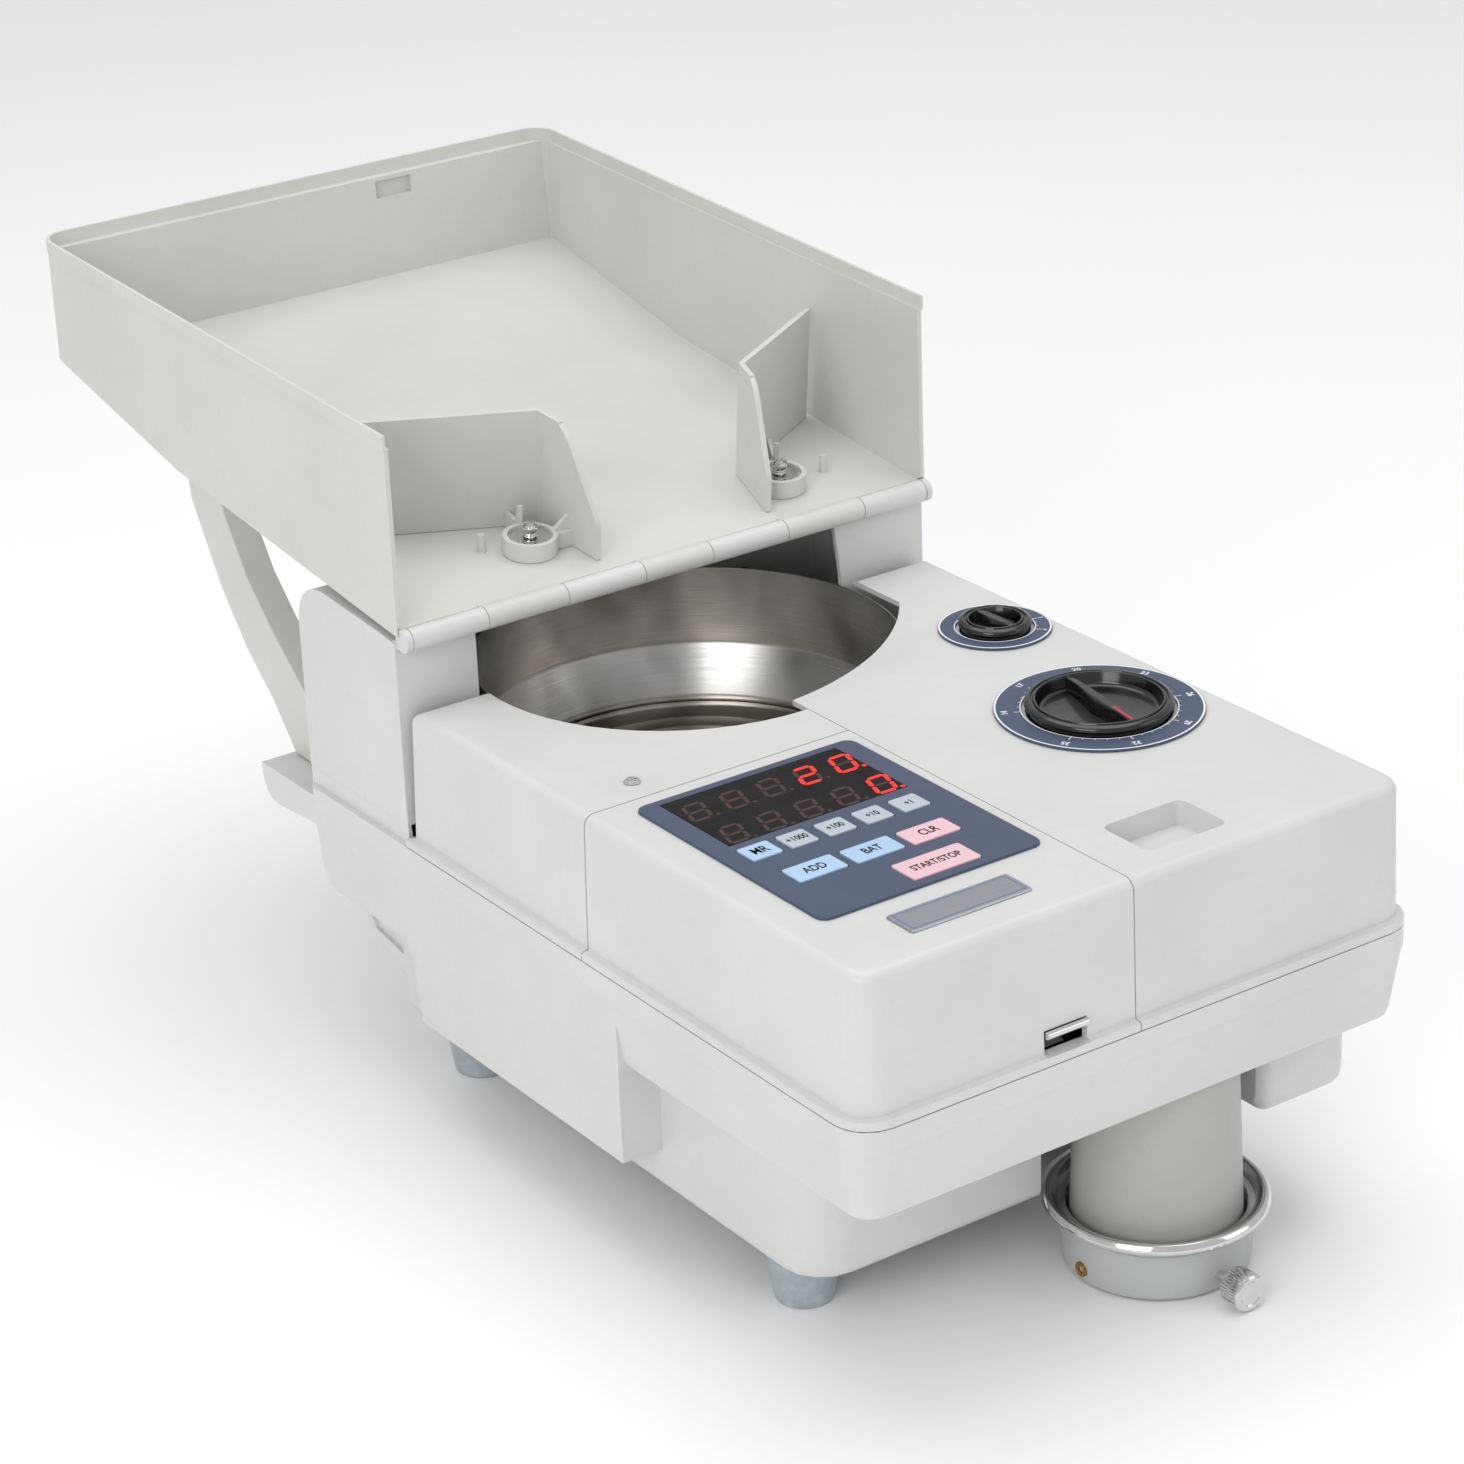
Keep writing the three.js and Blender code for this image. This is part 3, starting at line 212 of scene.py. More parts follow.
def brushed(name, tone, rough, centre=None, direction=(4, 900, 4), depth=0.00002,
            contrast=0.22):
    """Brushed metal: hairlines one way, or round a vertical axis with soft dark bands of painted
    reflection.
    """
    shade = Shade(name, rough, 1.0)
    place = shade.around(centre, 1.5, 2600, 2600) if centre else shade.stretched(direction)
    lines = shade.noise(1.0, 4, place, 0.7)
    base = srgb(tone)
    clouds = shade.ramp(shade.noise(22, 3), 0.35, 0.7, 0, 0.7)
    fine = shade.mix(shade.ramp(lines, 0.35, 0.68), base, dimmed(base, 1 - contrast))
    if centre:
        # Round an axis: soft dark bands painted into the colour, a painted reflection of dark
        # surroundings in the steel.
        reflection_sweep = shade.noise(1.0, 2, shade.around(centre, 2.2, 14, 9))
        painted_reflection_bands = shade.ramp(reflection_sweep, 0.46, 0.66, 0, 0.75)
        fine = shade.mix(painted_reflection_bands, fine, dimmed(base, 0.3))
    shade.colour(shade.mix(clouds, fine, dimmed(base, 0.9)))
    shade.roughness(shade.ramp(lines, 0.3, 0.7, rough - 0.06, rough + 0.1))
    shade.bump(lines, depth)
    return shade.material


def polished(name, tone, rough):
    """Plated or polished metal with a film of handling marks."""
    shade = Shade(name, rough, 1.0)
    base = srgb(tone)
    smear = shade.ramp(shade.noise(90, 5, rough=0.6), 0.5, 0.75)
    shade.colour(shade.mix(smear, base, dimmed(base, 0.9)))
    shade.roughness(shade.ramp(shade.noise(55, 4), 0.4, 0.75, rough, rough + 0.14))
    shade.bump(shade.noise(500, 3), 0.000004)
    return shade.material


def rubber(name, tone):
    shade = Shade(name, 0.72)
    base = srgb(tone)
    chalk = shade.ramp(shade.noise(120, 5, rough=0.7), 0.45, 0.75)
    shade.colour(shade.mix(chalk, base, [min(c * 1.25 + 0.01, 1) for c in base[:3]] + [1]))
    shade.roughness(shade.ramp(shade.noise(300, 3), 0.3, 0.7, 0.6, 0.85))
    shade.bump(shade.noise(900, 4), 0.00005)
    return shade.material


def circuit(name):
    """Solder mask over straight copper tracks."""
    shade = Shade(name, 0.4)
    bricks = shade.nodes.new("ShaderNodeTexBrick")
    shade.feed(bricks, {"Vector": shade.place, "Scale": 90, "Color1": srgb("#2f6b45"),
                        "Color2": srgb("#2a6140"), "Mortar": srgb("#4f8a55"), "Mortar Size": 0.03})
    shade.colour(bricks.outputs["Color"])
    shade.roughness(shade.ramp(shade.noise(400, 3), 0.3, 0.7, 0.3, 0.5))
    shade.bump(bricks.outputs["Fac"], 0.00004)
    return shade.material


def glowing(name, tone, strength):
    """A lit or dark display segment behind a red filter, its tone varied by fine noise."""
    shade = Shade(name, 0.3)
    base = srgb(tone)
    shade.colour(shade.mix(shade.noise(700, 2), base, dimmed(base, 0.7)))
    shade.roughness(shade.ramp(shade.noise(300, 2), 0.3, 0.7, 0.25, 0.4))
    # On a dark segment this emission is a painted glow, not a lit one.
    shade.shader.inputs["Emission Color"].default_value = base
    shade.shader.inputs["Emission Strength"].default_value = strength
    return shade.material


def axis_of(joint):
    return JOINTS[joint]["pos_m"]


BOWL_AXIS = axis_of("disc_spin")
LOOKS = {
    "body_grey": moulded("moulded_body", "#d5d5d3", 0.38, coat=0.05),
    "tray_grey": moulded("moulded_tray", "#d2d2cd", 0.44),
    "collar_grey": moulded("moulded_collar", "#b7bab9", 0.42),
    "panel_slate": moulded("printed_overlay", "#4c576d", 0.42, 0.00002, 2600, gloss=0.25),
    "key_blue": moulded("key_print_blue", "#aecdec", 0.4, 0.00002, 2600),
    "key_grey": moulded("key_print_grey", "#bcc3cc", 0.4, 0.00002, 2600),
    "key_pink": moulded("key_print_pink", "#edc3cd", 0.4, 0.00002, 2600),
    "black_knob": moulded("gloss_black", "#0d0d0d", 0.2, 0.00001, 1800, coat=0.4),
    "switch_red": moulded("gloss_red", "#8e1d1d", 0.25, 0.00001, 1800, coat=0.3),
    "foot_rubber": rubber("foot_rubber", "#a0a9ae"),
    "belt_rubber": rubber("belt_rubber", "#1c1c1c"),
    "chrome": polished("chrome_plate", "#dcdcda", 0.07),
    "steel": brushed("brushed_sheet", "#a29f9a", 0.3),
    "brass": polished("turned_brass", "#a5813e", 0.25),
    "plate_silver": brushed("silver_foil", "#b9bbc0", 0.32, direction=(6, 1500, 6)),
    "motor_paint": moulded("satin_enamel", "#565b5f", 0.35, 0.00002, 900, coat=0.2),
    "winding": moulded("varnished_winding", "#7a4d2c", 0.4, 0.0001, 700, coat=0.3),
    "board_green": circuit("circuit_board"),
    "window_dark": moulded("smoked_window", "#100d0e", 0.3, 0.000004, 900, gloss=0.12),
}
# Both turned steels carry the painted reflection bands round the bowl's axis.
BOWL_STEEL = brushed("bowl_wall_steel", "#cfcdca", 0.3, centre=BOWL_AXIS, depth=0.000008,
                     contrast=0.12)
DISC_STEEL = brushed("disc_steel", "#ebe4da", 0.1, centre=BOWL_AXIS, depth=0.000003,
                     contrast=0.08)
# Body grey darkened: painted shade, as the tube stands in the shadow of the skirt above it.
OUTLET_PAINTED_SHADE_PLASTIC = moulded("outlet_plastic_painted_shade", "#b1b1ad", 0.42)
WHITE_PRINT = moulded("white_print", "#eef0f2", 0.5, 0.00001, 2600)
BLACK_PRINT = moulded("black_print", "#0a0a0c", 0.6, 0.00001, 2600, gloss=0.08)
RED_PRINT = moulded("red_print", "#b0343f", 0.4, 0.00001, 2600)
BLUE_PRINT = moulded("blue_print", "#3b76b4", 0.4, 0.00001, 2600)
LIT = glowing("lit_segment", "#ff1408", 1.6)
# The unlit segments carry a faint painted glow.
UNLIT_WITH_PAINTED_GLOW = glowing("dark_segment_painted_glow", "#3d0e0d", 0.06)


# ---- Mesh helpers ---------------------------------------------------------
def add_piece(name, mesh, body, slot, material=None, stands_for=(), soft_angle=38):
    """Links a finished mesh, shades it smooth below an angle and fixes it to a body."""
    mesh.validate()
    mesh.shade_smooth()
    mesh.set_sharp_from_angle(angle=math.radians(soft_angle))
    piece = bpy.data.objects.new(name, mesh)
    bpy.context.scene.collection.objects.link(piece)
    mesh.materials.append(material or LOOKS[slot])
    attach(piece, body)
    if stands_for:
        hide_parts(*stands_for)
    return piece


def mesh_from(name, build, solid=True):
    """A new mesh filled by build; a solid one has its faces turned outward."""
    mesh = bpy.data.meshes.new(name)
    form = bmesh.new()
    build(form)
    if solid:
        bmesh.ops.recalc_face_normals(form, faces=form.faces)
    form.to_mesh(mesh)
    form.free()
    return mesh


def rounded(profile, radius, steps=4):
    """A closed profile whose corners are each turned into a short arc."""
    points = []
    count = len(profile)
    for i, corner in enumerate(profile):
        here = Vector(corner[:2])
        before = Vector(profile[i - 1][:2]) - here
        after = Vector(profile[(i + 1) % count][:2]) - here
        reach = min(corner[2] if len(corner) > 2 else radius, before.length * 0.45,
                    after.length * 0.45)
        if reach <= 0:
            points.append(here)
            continue
        a = here + before.normalized() * reach
        b = here + after.normalized() * reach
        for k in range(steps + 1):
            t = k / steps
            points.append((1 - t) ** 2 * a + 2 * t * (1 - t) * here + t * t * b)
    return points


def turn_profile(form, place, profile, segments, radius_at=None):
    """Spins a closed (radius, height) profile round the Z axis of a placing matrix."""
    rings = []
    for k in range(segments):
        angle = 2 * math.pi * k / segments
        ring = []
        for r, z in profile:
            reach = radius_at(r, z, k) if radius_at else r
            ring.append(form.verts.new(place @ Vector((reach * math.cos(angle),
                                                       reach * math.sin(angle), z))))
        rings.append(ring)
    count = len(profile)
    for k in range(segments):
        near, far = rings[k], rings[(k + 1) % segments]
        for i in range(count):
            j = (i + 1) % count
            form.faces.new((near[i], far[i], far[j], near[j]))
    bmesh.ops.remove_doubles(form, verts=form.verts, dist=1e-7)


def lathe(name, centre, profile, body, slot, soften=0.0004, segments=128, **more):
    """A turned piece; the profile is in millimetres as (radius, height)."""
    points = [p * MM for p in rounded(profile, soften / MM)]
    points = [Vector((max(p.x, 0), p.y)) for p in points]
    place = Matrix.Translation((centre[0], centre[1], 0))
    mesh = mesh_from(name, lambda form: turn_profile(form, place, points, segments))
    return add_piece(name, mesh, body, slot, **more)


PRINT_LIFT = 0.00003  # how far print stands over the surface it is on
PRINT_HALF_DEPTH = 0.00002
STROKE_SWELL = 0.018  # what each side of a stroke gains, as a share of the letter size


def print_text(words, size, place, turn=0.0):
    """The flat outline of some words, centred on a place, as a bare mesh."""
    curve = bpy.data.curves.new("words", "FONT")
    curve.body = words
    curve.size = size
    curve.align_x = "CENTER"
    curve.align_y = "CENTER"
    curve.extrude = PRINT_HALF_DEPTH
    curve.offset = size * STROKE_SWELL
    carrier = bpy.data.objects.new("words", curve)
    bpy.context.scene.collection.objects.link(carrier)
    bpy.context.view_layer.update()
    mesh = bpy.data.meshes.new_from_object(carrier.evaluated_get(
        bpy.context.evaluated_depsgraph_get()))
    bpy.data.objects.remove(carrier)
    mesh.transform(Matrix.Translation(place) @ Matrix.Rotation(turn, 4, "Z"))
    return mesh


def merge(name, meshes):
    """One mesh from several, which are used up."""
    def gather(form):
        for mesh in meshes:
            form.from_mesh(mesh)
            bpy.data.meshes.remove(mesh)

    return mesh_from(name, gather, solid=False)


def slab(form, outline, low, high):
    """A flat plate with a straight edge, from its outline and two heights."""
    bottom = [form.verts.new((x, y, low)) for x, y in outline]
    top = [form.verts.new((x, y, high)) for x, y in outline]
    form.faces.new(list(reversed(bottom)))
    form.faces.new(top)
    for i in range(len(outline)):
        j = (i + 1) % len(outline)
        form.faces.new((bottom[i], bottom[j], top[j], top[i]))


# ---- CAD nodes that stay: softened edges and material ---------------------
def geometry_tree(name):
    """A node tree for a modifier, with its geometry going in and coming out."""
    tree = bpy.data.node_groups.new(name, "GeometryNodeTree")
    for way in ("INPUT", "OUTPUT"):
        tree.interface.new_socket("Geometry", in_out=way, socket_type="NodeSocketGeometry")
    return tree, tree.nodes.new("NodeGroupInput"), tree.nodes.new("NodeGroupOutput")


def weld_group():
    """Joins the faceted model's split corners and drops its stored normals."""
    tree, start, end = geometry_tree("weld")
    drop = tree.nodes.new("GeometryNodeRemoveAttribute")
    drop.inputs["Name"].default_value = "custom_normal"
    weld = tree.nodes.new("GeometryNodeMergeByDistance")
    weld.inputs["Distance"].default_value = 0.00001
    tree.links.new(start.outputs[0], drop.inputs["Geometry"])
    tree.links.new(drop.outputs["Geometry"], weld.inputs["Geometry"])
    tree.links.new(weld.outputs["Geometry"], end.inputs[0])
    return tree


def shade_group(angle):
    """Shades smooth wherever two faces meet at less than an angle."""
    tree, start, end = geometry_tree("soft_shade")
    faces = tree.nodes.new("GeometryNodeSetShadeSmooth")
    faces.domain = "FACE"
    faces.inputs["Shade Smooth"].default_value = True
    edges = tree.nodes.new("GeometryNodeSetShadeSmooth")
    edges.domain = "EDGE"
    bend = tree.nodes.new("GeometryNodeInputMeshEdgeAngle")
    test = tree.nodes.new("FunctionNodeCompare")
    test.operation = "LESS_THAN"
    test.inputs[1].default_value = angle
    tree.links.new(bend.outputs["Unsigned Angle"], test.inputs[0])
    tree.links.new(test.outputs[0], edges.inputs["Shade Smooth"])
    tree.links.new(start.outputs[0], faces.inputs["Geometry"])
    tree.links.new(faces.outputs[0], edges.inputs["Geometry"])
    tree.links.new(edges.outputs[0], end.inputs[0])
    return tree


WELD, SOFT = weld_group(), shade_group(math.radians(36))
PLAIN_EDGE = 0.25
EDGE_RADIUS = {  # millimetres, where an edge is not the plain one
    "base_tub": 0.9, "bowl_cover": 0.35, "right_cover": 0.35, "display_cover": 0.35,
    "rear_hood": 0.5, "coin_tray": 0.7, "guide_left": 0.8, "guide_right": 0.8,
    "tray_leg_left": 0.8, "tray_leg_right": 0.8, "keypad_overlay": 0.12, "display_window": 0.1,
    "name_plate": 0.12, "latch_lever": 0.3, "chassis_plate": 0.2, "bottom_plate": 0.2,
    "power_inlet": 0.4, "switch_housing": 0.3, "switch_rocker": 0.4, "drive_motor": 0.6,
    "transformer": 0.8,
}


def soften(node):
    """Welds, merges flat facets, rounds edges and shades a CAD node by modifiers."""
    piece = frame["nodes"][node]
    weld = piece.modifiers.new("weld", "NODES")
    weld.node_group = WELD
    flat = piece.modifiers.new("flat", "DECIMATE")
    flat.decimate_type = "DISSOLVE"
    flat.angle_limit = math.radians(0.5)
    bevel = piece.modifiers.new("edge", "BEVEL")
    bevel.width = EDGE_RADIUS.get(node, PLAIN_EDGE) * MM
    bevel.segments = 3
    bevel.limit_method = "ANGLE"
    bevel.angle_limit = math.radians(40)
    bevel.harden_normals = False
    shade = piece.modifiers.new("shade", "NODES")
    shade.node_group = SOFT
    normals = piece.modifiers.new("normals", "WEIGHTED_NORMAL")
    normals.keep_sharp = True
    normals.weight = 80


def dress_nodes():
    for node, piece in frame["nodes"].items():
        soften(node)
        for holder in piece.material_slots:
            holder.material = LOOKS[SLOTS[node]]


dress_nodes()


# ---- Feed bowl ------------------------------------------------------------
def feed_bowl():
    """A funnelled steel wall round a disc with a turned groove and a low hub."""
    low, high = (corner.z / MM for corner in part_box("bowl_drum"))
    lathe("bowl_wall", BOWL_AXIS, [
        (117, 196, 1.5), (105, 168, 1), (105, low), (106.2, low), (106.2, 167.6, 1),
        (118.2, 195.6, 1.5), (118.2, high), (117.6, high + 0.5, 0.3), (117, high)],
        "base", "steel", 0.0002, 192, material=BOWL_STEEL, stands_for=["bowl_drum"])
    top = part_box("feed_disc")[1].z / MM
    flat = top - 5
    lathe("polished_disc", BOWL_AXIS, [
        (0, flat - 5, 0), (103.6, flat - 5), (103.6, flat, 0.8), (70, flat, 0),
        (69.6, flat - 0.25, 0), (69, flat - 0.25, 0), (68.6, flat, 0), (30, flat, 4),
        (22, flat + 4, 3), (0, flat + 5, 0)],
        "rotor", "chrome", 0.0004, 192, material=DISC_STEEL, stands_for=["feed_disc"])


feed_bowl()


# ---- Setting dials --------------------------------------------------------
def ring_of(form, centre, inner, outer, z, segments=128):
    """A printed ring line."""
    rows = [[form.verts.new((centre[0] + r * math.cos(a), centre[1] + r * math.sin(a), z))
             for r in (inner, outer)]
            for a in (2 * math.pi * k / segments for k in range(segments))]
    for k in range(segments):
        (a, b), (c, d) = rows[k], rows[(k + 1) % segments]
        form.faces.new((a, b, d, c))


def tick(form, centre, angle, inner, outer, width, z):
    """A printed line that points away from a centre."""
    along = Vector((math.cos(angle), math.sin(angle), 0))
    side = Vector((-along.y, along.x, 0)) * width / 2
    middle = Vector((centre[0], centre[1], z))
    form.faces.new([form.verts.new(middle + along * r + side * s)
                    for r, s in ((inner, -1), (outer, -1), (outer, 1), (inner, 1))])


def dial_scale(node, joint, hole, numbers, start, span, minor):
    """The printed ring round a dial: outline, inner line, ticks and numbers."""
    centre = axis_of(joint)
    low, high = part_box(node)
    ring, top = (high.x - low.x) / 2, high.z + PRINT_LIFT
    lathe(node + "_band", centre, [(hole / MM, low.z / MM), (ring / MM, low.z / MM),
                                   (ring / MM, high.z / MM), (hole / MM, high.z / MM)],
          "base", "panel_slate", 0.0003, 160, stands_for=[node])

    def marks(form):
        ring_of(form, centre, ring - 0.0013, ring - 0.0003, top)
        ring_of(form, centre, hole + 0.0002, hole + 0.0008, top)
        steps = (len(numbers) - 1) * minor
        for k in range(steps + 1):
            long = k % minor == 0
            tick(form, centre, start + span * k / steps, hole + 0.0006,
                 hole + (0.0042 if long else 0.0022), 0.0005 if long else 0.00035, top)

    mesh = mesh_from(node + "_lines", marks, solid=False)
    reach = hole + (ring - hole) * 0.62
    words = []
    for k, number in enumerate(numbers):
        angle = start + span * k / (len(numbers) - 1)
        at = (centre[0] + reach * math.cos(angle), centre[1] + reach * math.sin(angle), top)
        words.append(print_text(number, (ring - hole) * 0.34, at, angle - math.pi / 2))
    add_piece(node + "_marks", merge(node + "_marks", [mesh, *words]), "base", "panel_slate",
              material=WHITE_PRINT)


def dial_knob(node, joint, body, bar_angle, red):
    """A black cup with a ridged rim and a grip blade; a red line marks its nose."""
    centre = axis_of(joint)
    low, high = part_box(node)
    rim = (high.x - low.x) / 2 / MM
    top = high.z / MM
    floor = top - 7.2
    lathe(node + "_cup", centre, [
        (0, top - 13, 0), (rim - 1.8, top - 13), (rim - 1.8, top - 3.3, 0.2),
        (rim, top - 3.3, 0.3), (rim - 0.4, top - 1.2, 1), (rim - 2.4, top - 0.2, 0.8),
        (rim - 3.2, top - 0.2, 0.3), (rim - 3.6, top - 1.2, 0.2), (rim - 4.6, top - 1.2, 0.2),
        (rim - 5, top, 0.4), (rim - 6, top, 0.6), (rim - 7.8, floor, 2.2), (0, floor - 1, 0)],
        body, "black_knob", 0.0003, 160, stands_for=[node])
    reach = (rim - 5.6) * MM
    steps = 24

    def blade(form):
        ceiling = high.z - 0.00005
        foot = (floor - 0.5) * MM
        rows = []
        for k in range(steps + 1):
            u = -1 + 2 * k / steps
            half = 0.0017 + 0.0016 * (1 - abs(u)) ** 0.8
            crest = (top - 0.5 + 1.7 * (1 - u * u)) * MM
            crown = [(half * 1.35, foot), (half, crest - 0.0022), (half * 0.72, crest - 0.0006),
                     (0.0, crest), (-half * 0.72, crest - 0.0006), (-half, crest - 0.0022),
                     (-half * 1.35, foot)]
            rows.append([form.verts.new((u * reach, y, min(z, ceiling))) for y, z in crown])
        for a, b in zip(rows, rows[1:]):
            for i in range(len(a) - 1):
                form.faces.new((a[i], b[i], b[i + 1], a[i + 1]))
            form.faces.new((a[-1], b[-1], b[0], a[0]))
        form.faces.new(rows[0])
        form.faces.new(list(reversed(rows[-1])))

    place = Matrix.Translation((centre[0], centre[1], 0)) @ Matrix.Rotation(bar_angle, 4, "Z")
    mesh = mesh_from(node + "_blade", blade)
    mesh.transform(place)
    add_piece(node + "_blade", mesh, body, "black_knob")
    if not red:
        return

    def pointer(form):
        near, half = reach * 0.42, 0.0009
        slab(form, [(near, -half), (reach, -half), (reach, half), (near, half)],
             high.z - 0.0006, high.z + 0.00005)

    mesh = mesh_from(node + "_pointer", pointer)
    mesh.transform(place)
    add_piece(node + "_pointer", mesh, body, "switch_red", material=RED_PRINT)


dial_scale("diameter_scale", "diameter_dial_turn", 0.0402, [str(n) for n in range(14, 36, 3)],
           math.radians(150), math.radians(-300), 5)
dial_scale("thickness_scale", "thickness_dial_turn", 0.0214, ["1", "2", "3", "4"],
           math.radians(60), math.radians(-110), 3)
dial_knob("diameter_dial", "diameter_dial_turn", "diameter_knob", math.radians(-99.5), True)
dial_knob("thickness_dial", "thickness_dial_turn", "thickness_knob", math.radians(-88), False)


# ---- Display and keys -----------------------------------------------------
SEGMENTS = {"0": "abcdef", "2": "abged"}
SLANT = 0.27  # how far a figure leans, as a share of its height
FIGURE_LIFT = 0.00004
FIGURE_PITCH, FIGURE_SIZE = 0.0223, (0.0106, 0.0172)
BAR_WIDTH, DOT_RADIUS = 0.0021, 0.0012


def segment(form, a, b, width, z):
    """One lens-ended bar of a seven-segment figure."""
    along = (b - a).normalized()
    side = Vector((-along.y, along.x)) * width / 2
    tip = along * width / 2
    points = [a, a + tip + side, b - tip + side, b, b - tip - side, a + tip - side]
    form.faces.new([form.verts.new((p.x, p.y, z)) for p in points])


def figure(form, centre, lit, z, invert):
    """A slanted seven-segment figure; draws the lit bars, or the unlit ones."""
    half_w, half_h = FIGURE_SIZE[0] / 2, FIGURE_SIZE[1] / 2

    def at(u, v):
        return Vector((centre[0] + u * half_w + v * half_h * SLANT, centre[1] + v * half_h))

    ends = {"a": (at(-1, 1), at(1, 1)), "b": (at(1, 1), at(1, 0)), "c": (at(1, 0), at(1, -1)),
            "d": (at(-1, -1), at(1, -1)), "e": (at(-1, 0), at(-1, -1)),
            "f": (at(-1, 1), at(-1, 0)), "g": (at(-1, 0), at(1, 0))}
    for name, (a, b) in ends.items():
        if (name in SEGMENTS.get(lit, "")) != invert:
            gap = (b - a) * 0.05
            segment(form, a + gap, b - gap, BAR_WIDTH, z)


def point(form, centre, z):
    """The round decimal point at the foot of a figure."""
    form.faces.new([form.verts.new((centre[0] + DOT_RADIUS * math.cos(k * math.pi / 6),
                                    centre[1] + DOT_RADIUS * math.sin(k * math.pi / 6), z))
                    for k in range(12)])


def display():
    """Two rows of figures: the lit bars are one piece and the dark ones another."""
    low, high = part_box("display_window")
    z = high.z + FIGURE_LIFT
    left = low.x + 0.01
    rows = [(high.y - 0.0175, "   20"), (low.y + 0.0102, "    0")]

    def figures(form, invert):
        for y, text in rows:
            for k, lit in enumerate(text):
                x = left + k * FIGURE_PITCH
                figure(form, (x, y), lit, z, invert)
                if (k == len(text) - 1) != invert:
                    point(form, (x + FIGURE_SIZE[0] * 0.62, y - FIGURE_SIZE[1] / 2), z)

    for name, material, invert in (("lit_figures", LIT, False), ("dark_figures", UNLIT_WITH_PAINTED_GLOW, True)):
        mesh = mesh_from(name, lambda form: figures(form, invert), solid=False)
        add_piece(name, mesh, "display_cover", "window_dark", material=material)


display()

LEGEND_STRETCH = 1.4
LEGENDS = {  # the words on each key and their size in millimetres
    "key_recall": ("MR", 6.6), "key_preset_1000": ("+1000", 4.8), "key_preset_100": ("+100", 4.8),
    "key_preset_10": ("+10", 4.8), "key_preset_1": ("+1", 4.8), "key_add": ("ADD", 6),
    "key_batch": ("BAT", 6), "key_clear": ("CLR", 6), "key_start_stop": ("START/STOP", 5.2),
}


def key_legends():
    """Tall, narrow print in the middle of each key."""
    for node, (words, size) in LEGENDS.items():
        low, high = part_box(node)
        middle = (low + high) / 2
        mesh = merge(node + "_legend", [print_text(words, size * MM, (0, 0, 0))])
        mesh.transform(Matrix.Translation((middle.x, middle.y, high.z + PRINT_LIFT))
                       @ Matrix.Diagonal((1, LEGEND_STRETCH, 1, 1)))
        add_piece(node + "_legend", mesh, node + "_cap", SLOTS[node], material=BLACK_PRINT)


key_legends()


def frame_line(form, low, high, inset, width, z):
    """A thin printed rectangle just inside an edge."""
    def corners(step):
        return [(low.x + step, low.y + step), (high.x - step, low.y + step),
                (high.x - step, high.y - step), (low.x + step, high.y - step)]
    outer = [form.verts.new((x, y, z)) for x, y in corners(inset)]
    inner = [form.verts.new((x, y, z)) for x, y in corners(inset + width)]
    for i in range(4):
        j = (i + 1) % 4
        form.faces.new((outer[i], outer[j], inner[j], inner[i]))


def plate_print():
    """The blank name plate's border line."""
    low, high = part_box("name_plate")
    inset, width = 0.0022, 0.0005
    mesh = mesh_from("plate_border", lambda form: frame_line(
        form, low, high, inset, width, high.z + PRINT_LIFT), solid=False)
    add_piece("plate_border", mesh, "display_cover", "plate_silver", material=BLUE_PRINT)


plate_print()


# ---- Coin outlet ----------------------------------------------------------
def coin_outlet():
    """The tapered tube, its collar and the rolled ring that a coin bag hangs on."""
    low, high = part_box("outlet_tube")
    centre = (low + high) / 2
    foot, top = low.z / MM, high.z / MM
    # The tube wears the darkened body grey: painted shade from the skirt.
    lathe("tube", centre, [(36.4, top), (40.2, top), (40.2, 124, 2), (41, 112, 2), (45, foot),
                           (42, foot), (37.6, 114, 2)],
          "base", "body_grey", 0.0003, 128, material=OUTLET_PAINTED_SHADE_PLASTIC, stands_for=["outlet_tube"])
    low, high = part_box("bag_collar")
    z0, z1 = low.z / MM, high.z / MM
    lathe("collar", centre, [(45.8, z0), (46.6, z0, 0.5), (48.2, z0 + 1.6, 1.2), (49, z0 + 10, 3),
                             (49, z1 - 3.4, 0.3), (48.5, z1 - 3.2, 0.2), (48.5, z1 - 2.6, 0.2),
                             (49, z1 - 2.4, 0.3), (49, z1, 0.6), (45.8, z1)],
          "base", "collar_grey", 0.0004, 128, stands_for=["bag_collar"])
    foot, top = (corner.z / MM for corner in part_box("bag_ring"))
    lathe("bag_bead", centre, [
        (46, foot), (49.2, foot, 1), (51.8, foot + 2, 1.5), (53.6, foot + 1.1, 1.5),
        (56, foot + 0.9, 1.5), (58, foot + 2.9, 2), (58, foot + 4.9, 2), (56.2, top, 2),
        (53.8, top - 0.1, 1.8), (51.8, foot + 5, 1.2), (49.6, foot + 3, 1), (46, foot + 1.9)],
        "base", "chrome", 0.0006, 160, stands_for=["bag_ring"])


coin_outlet()


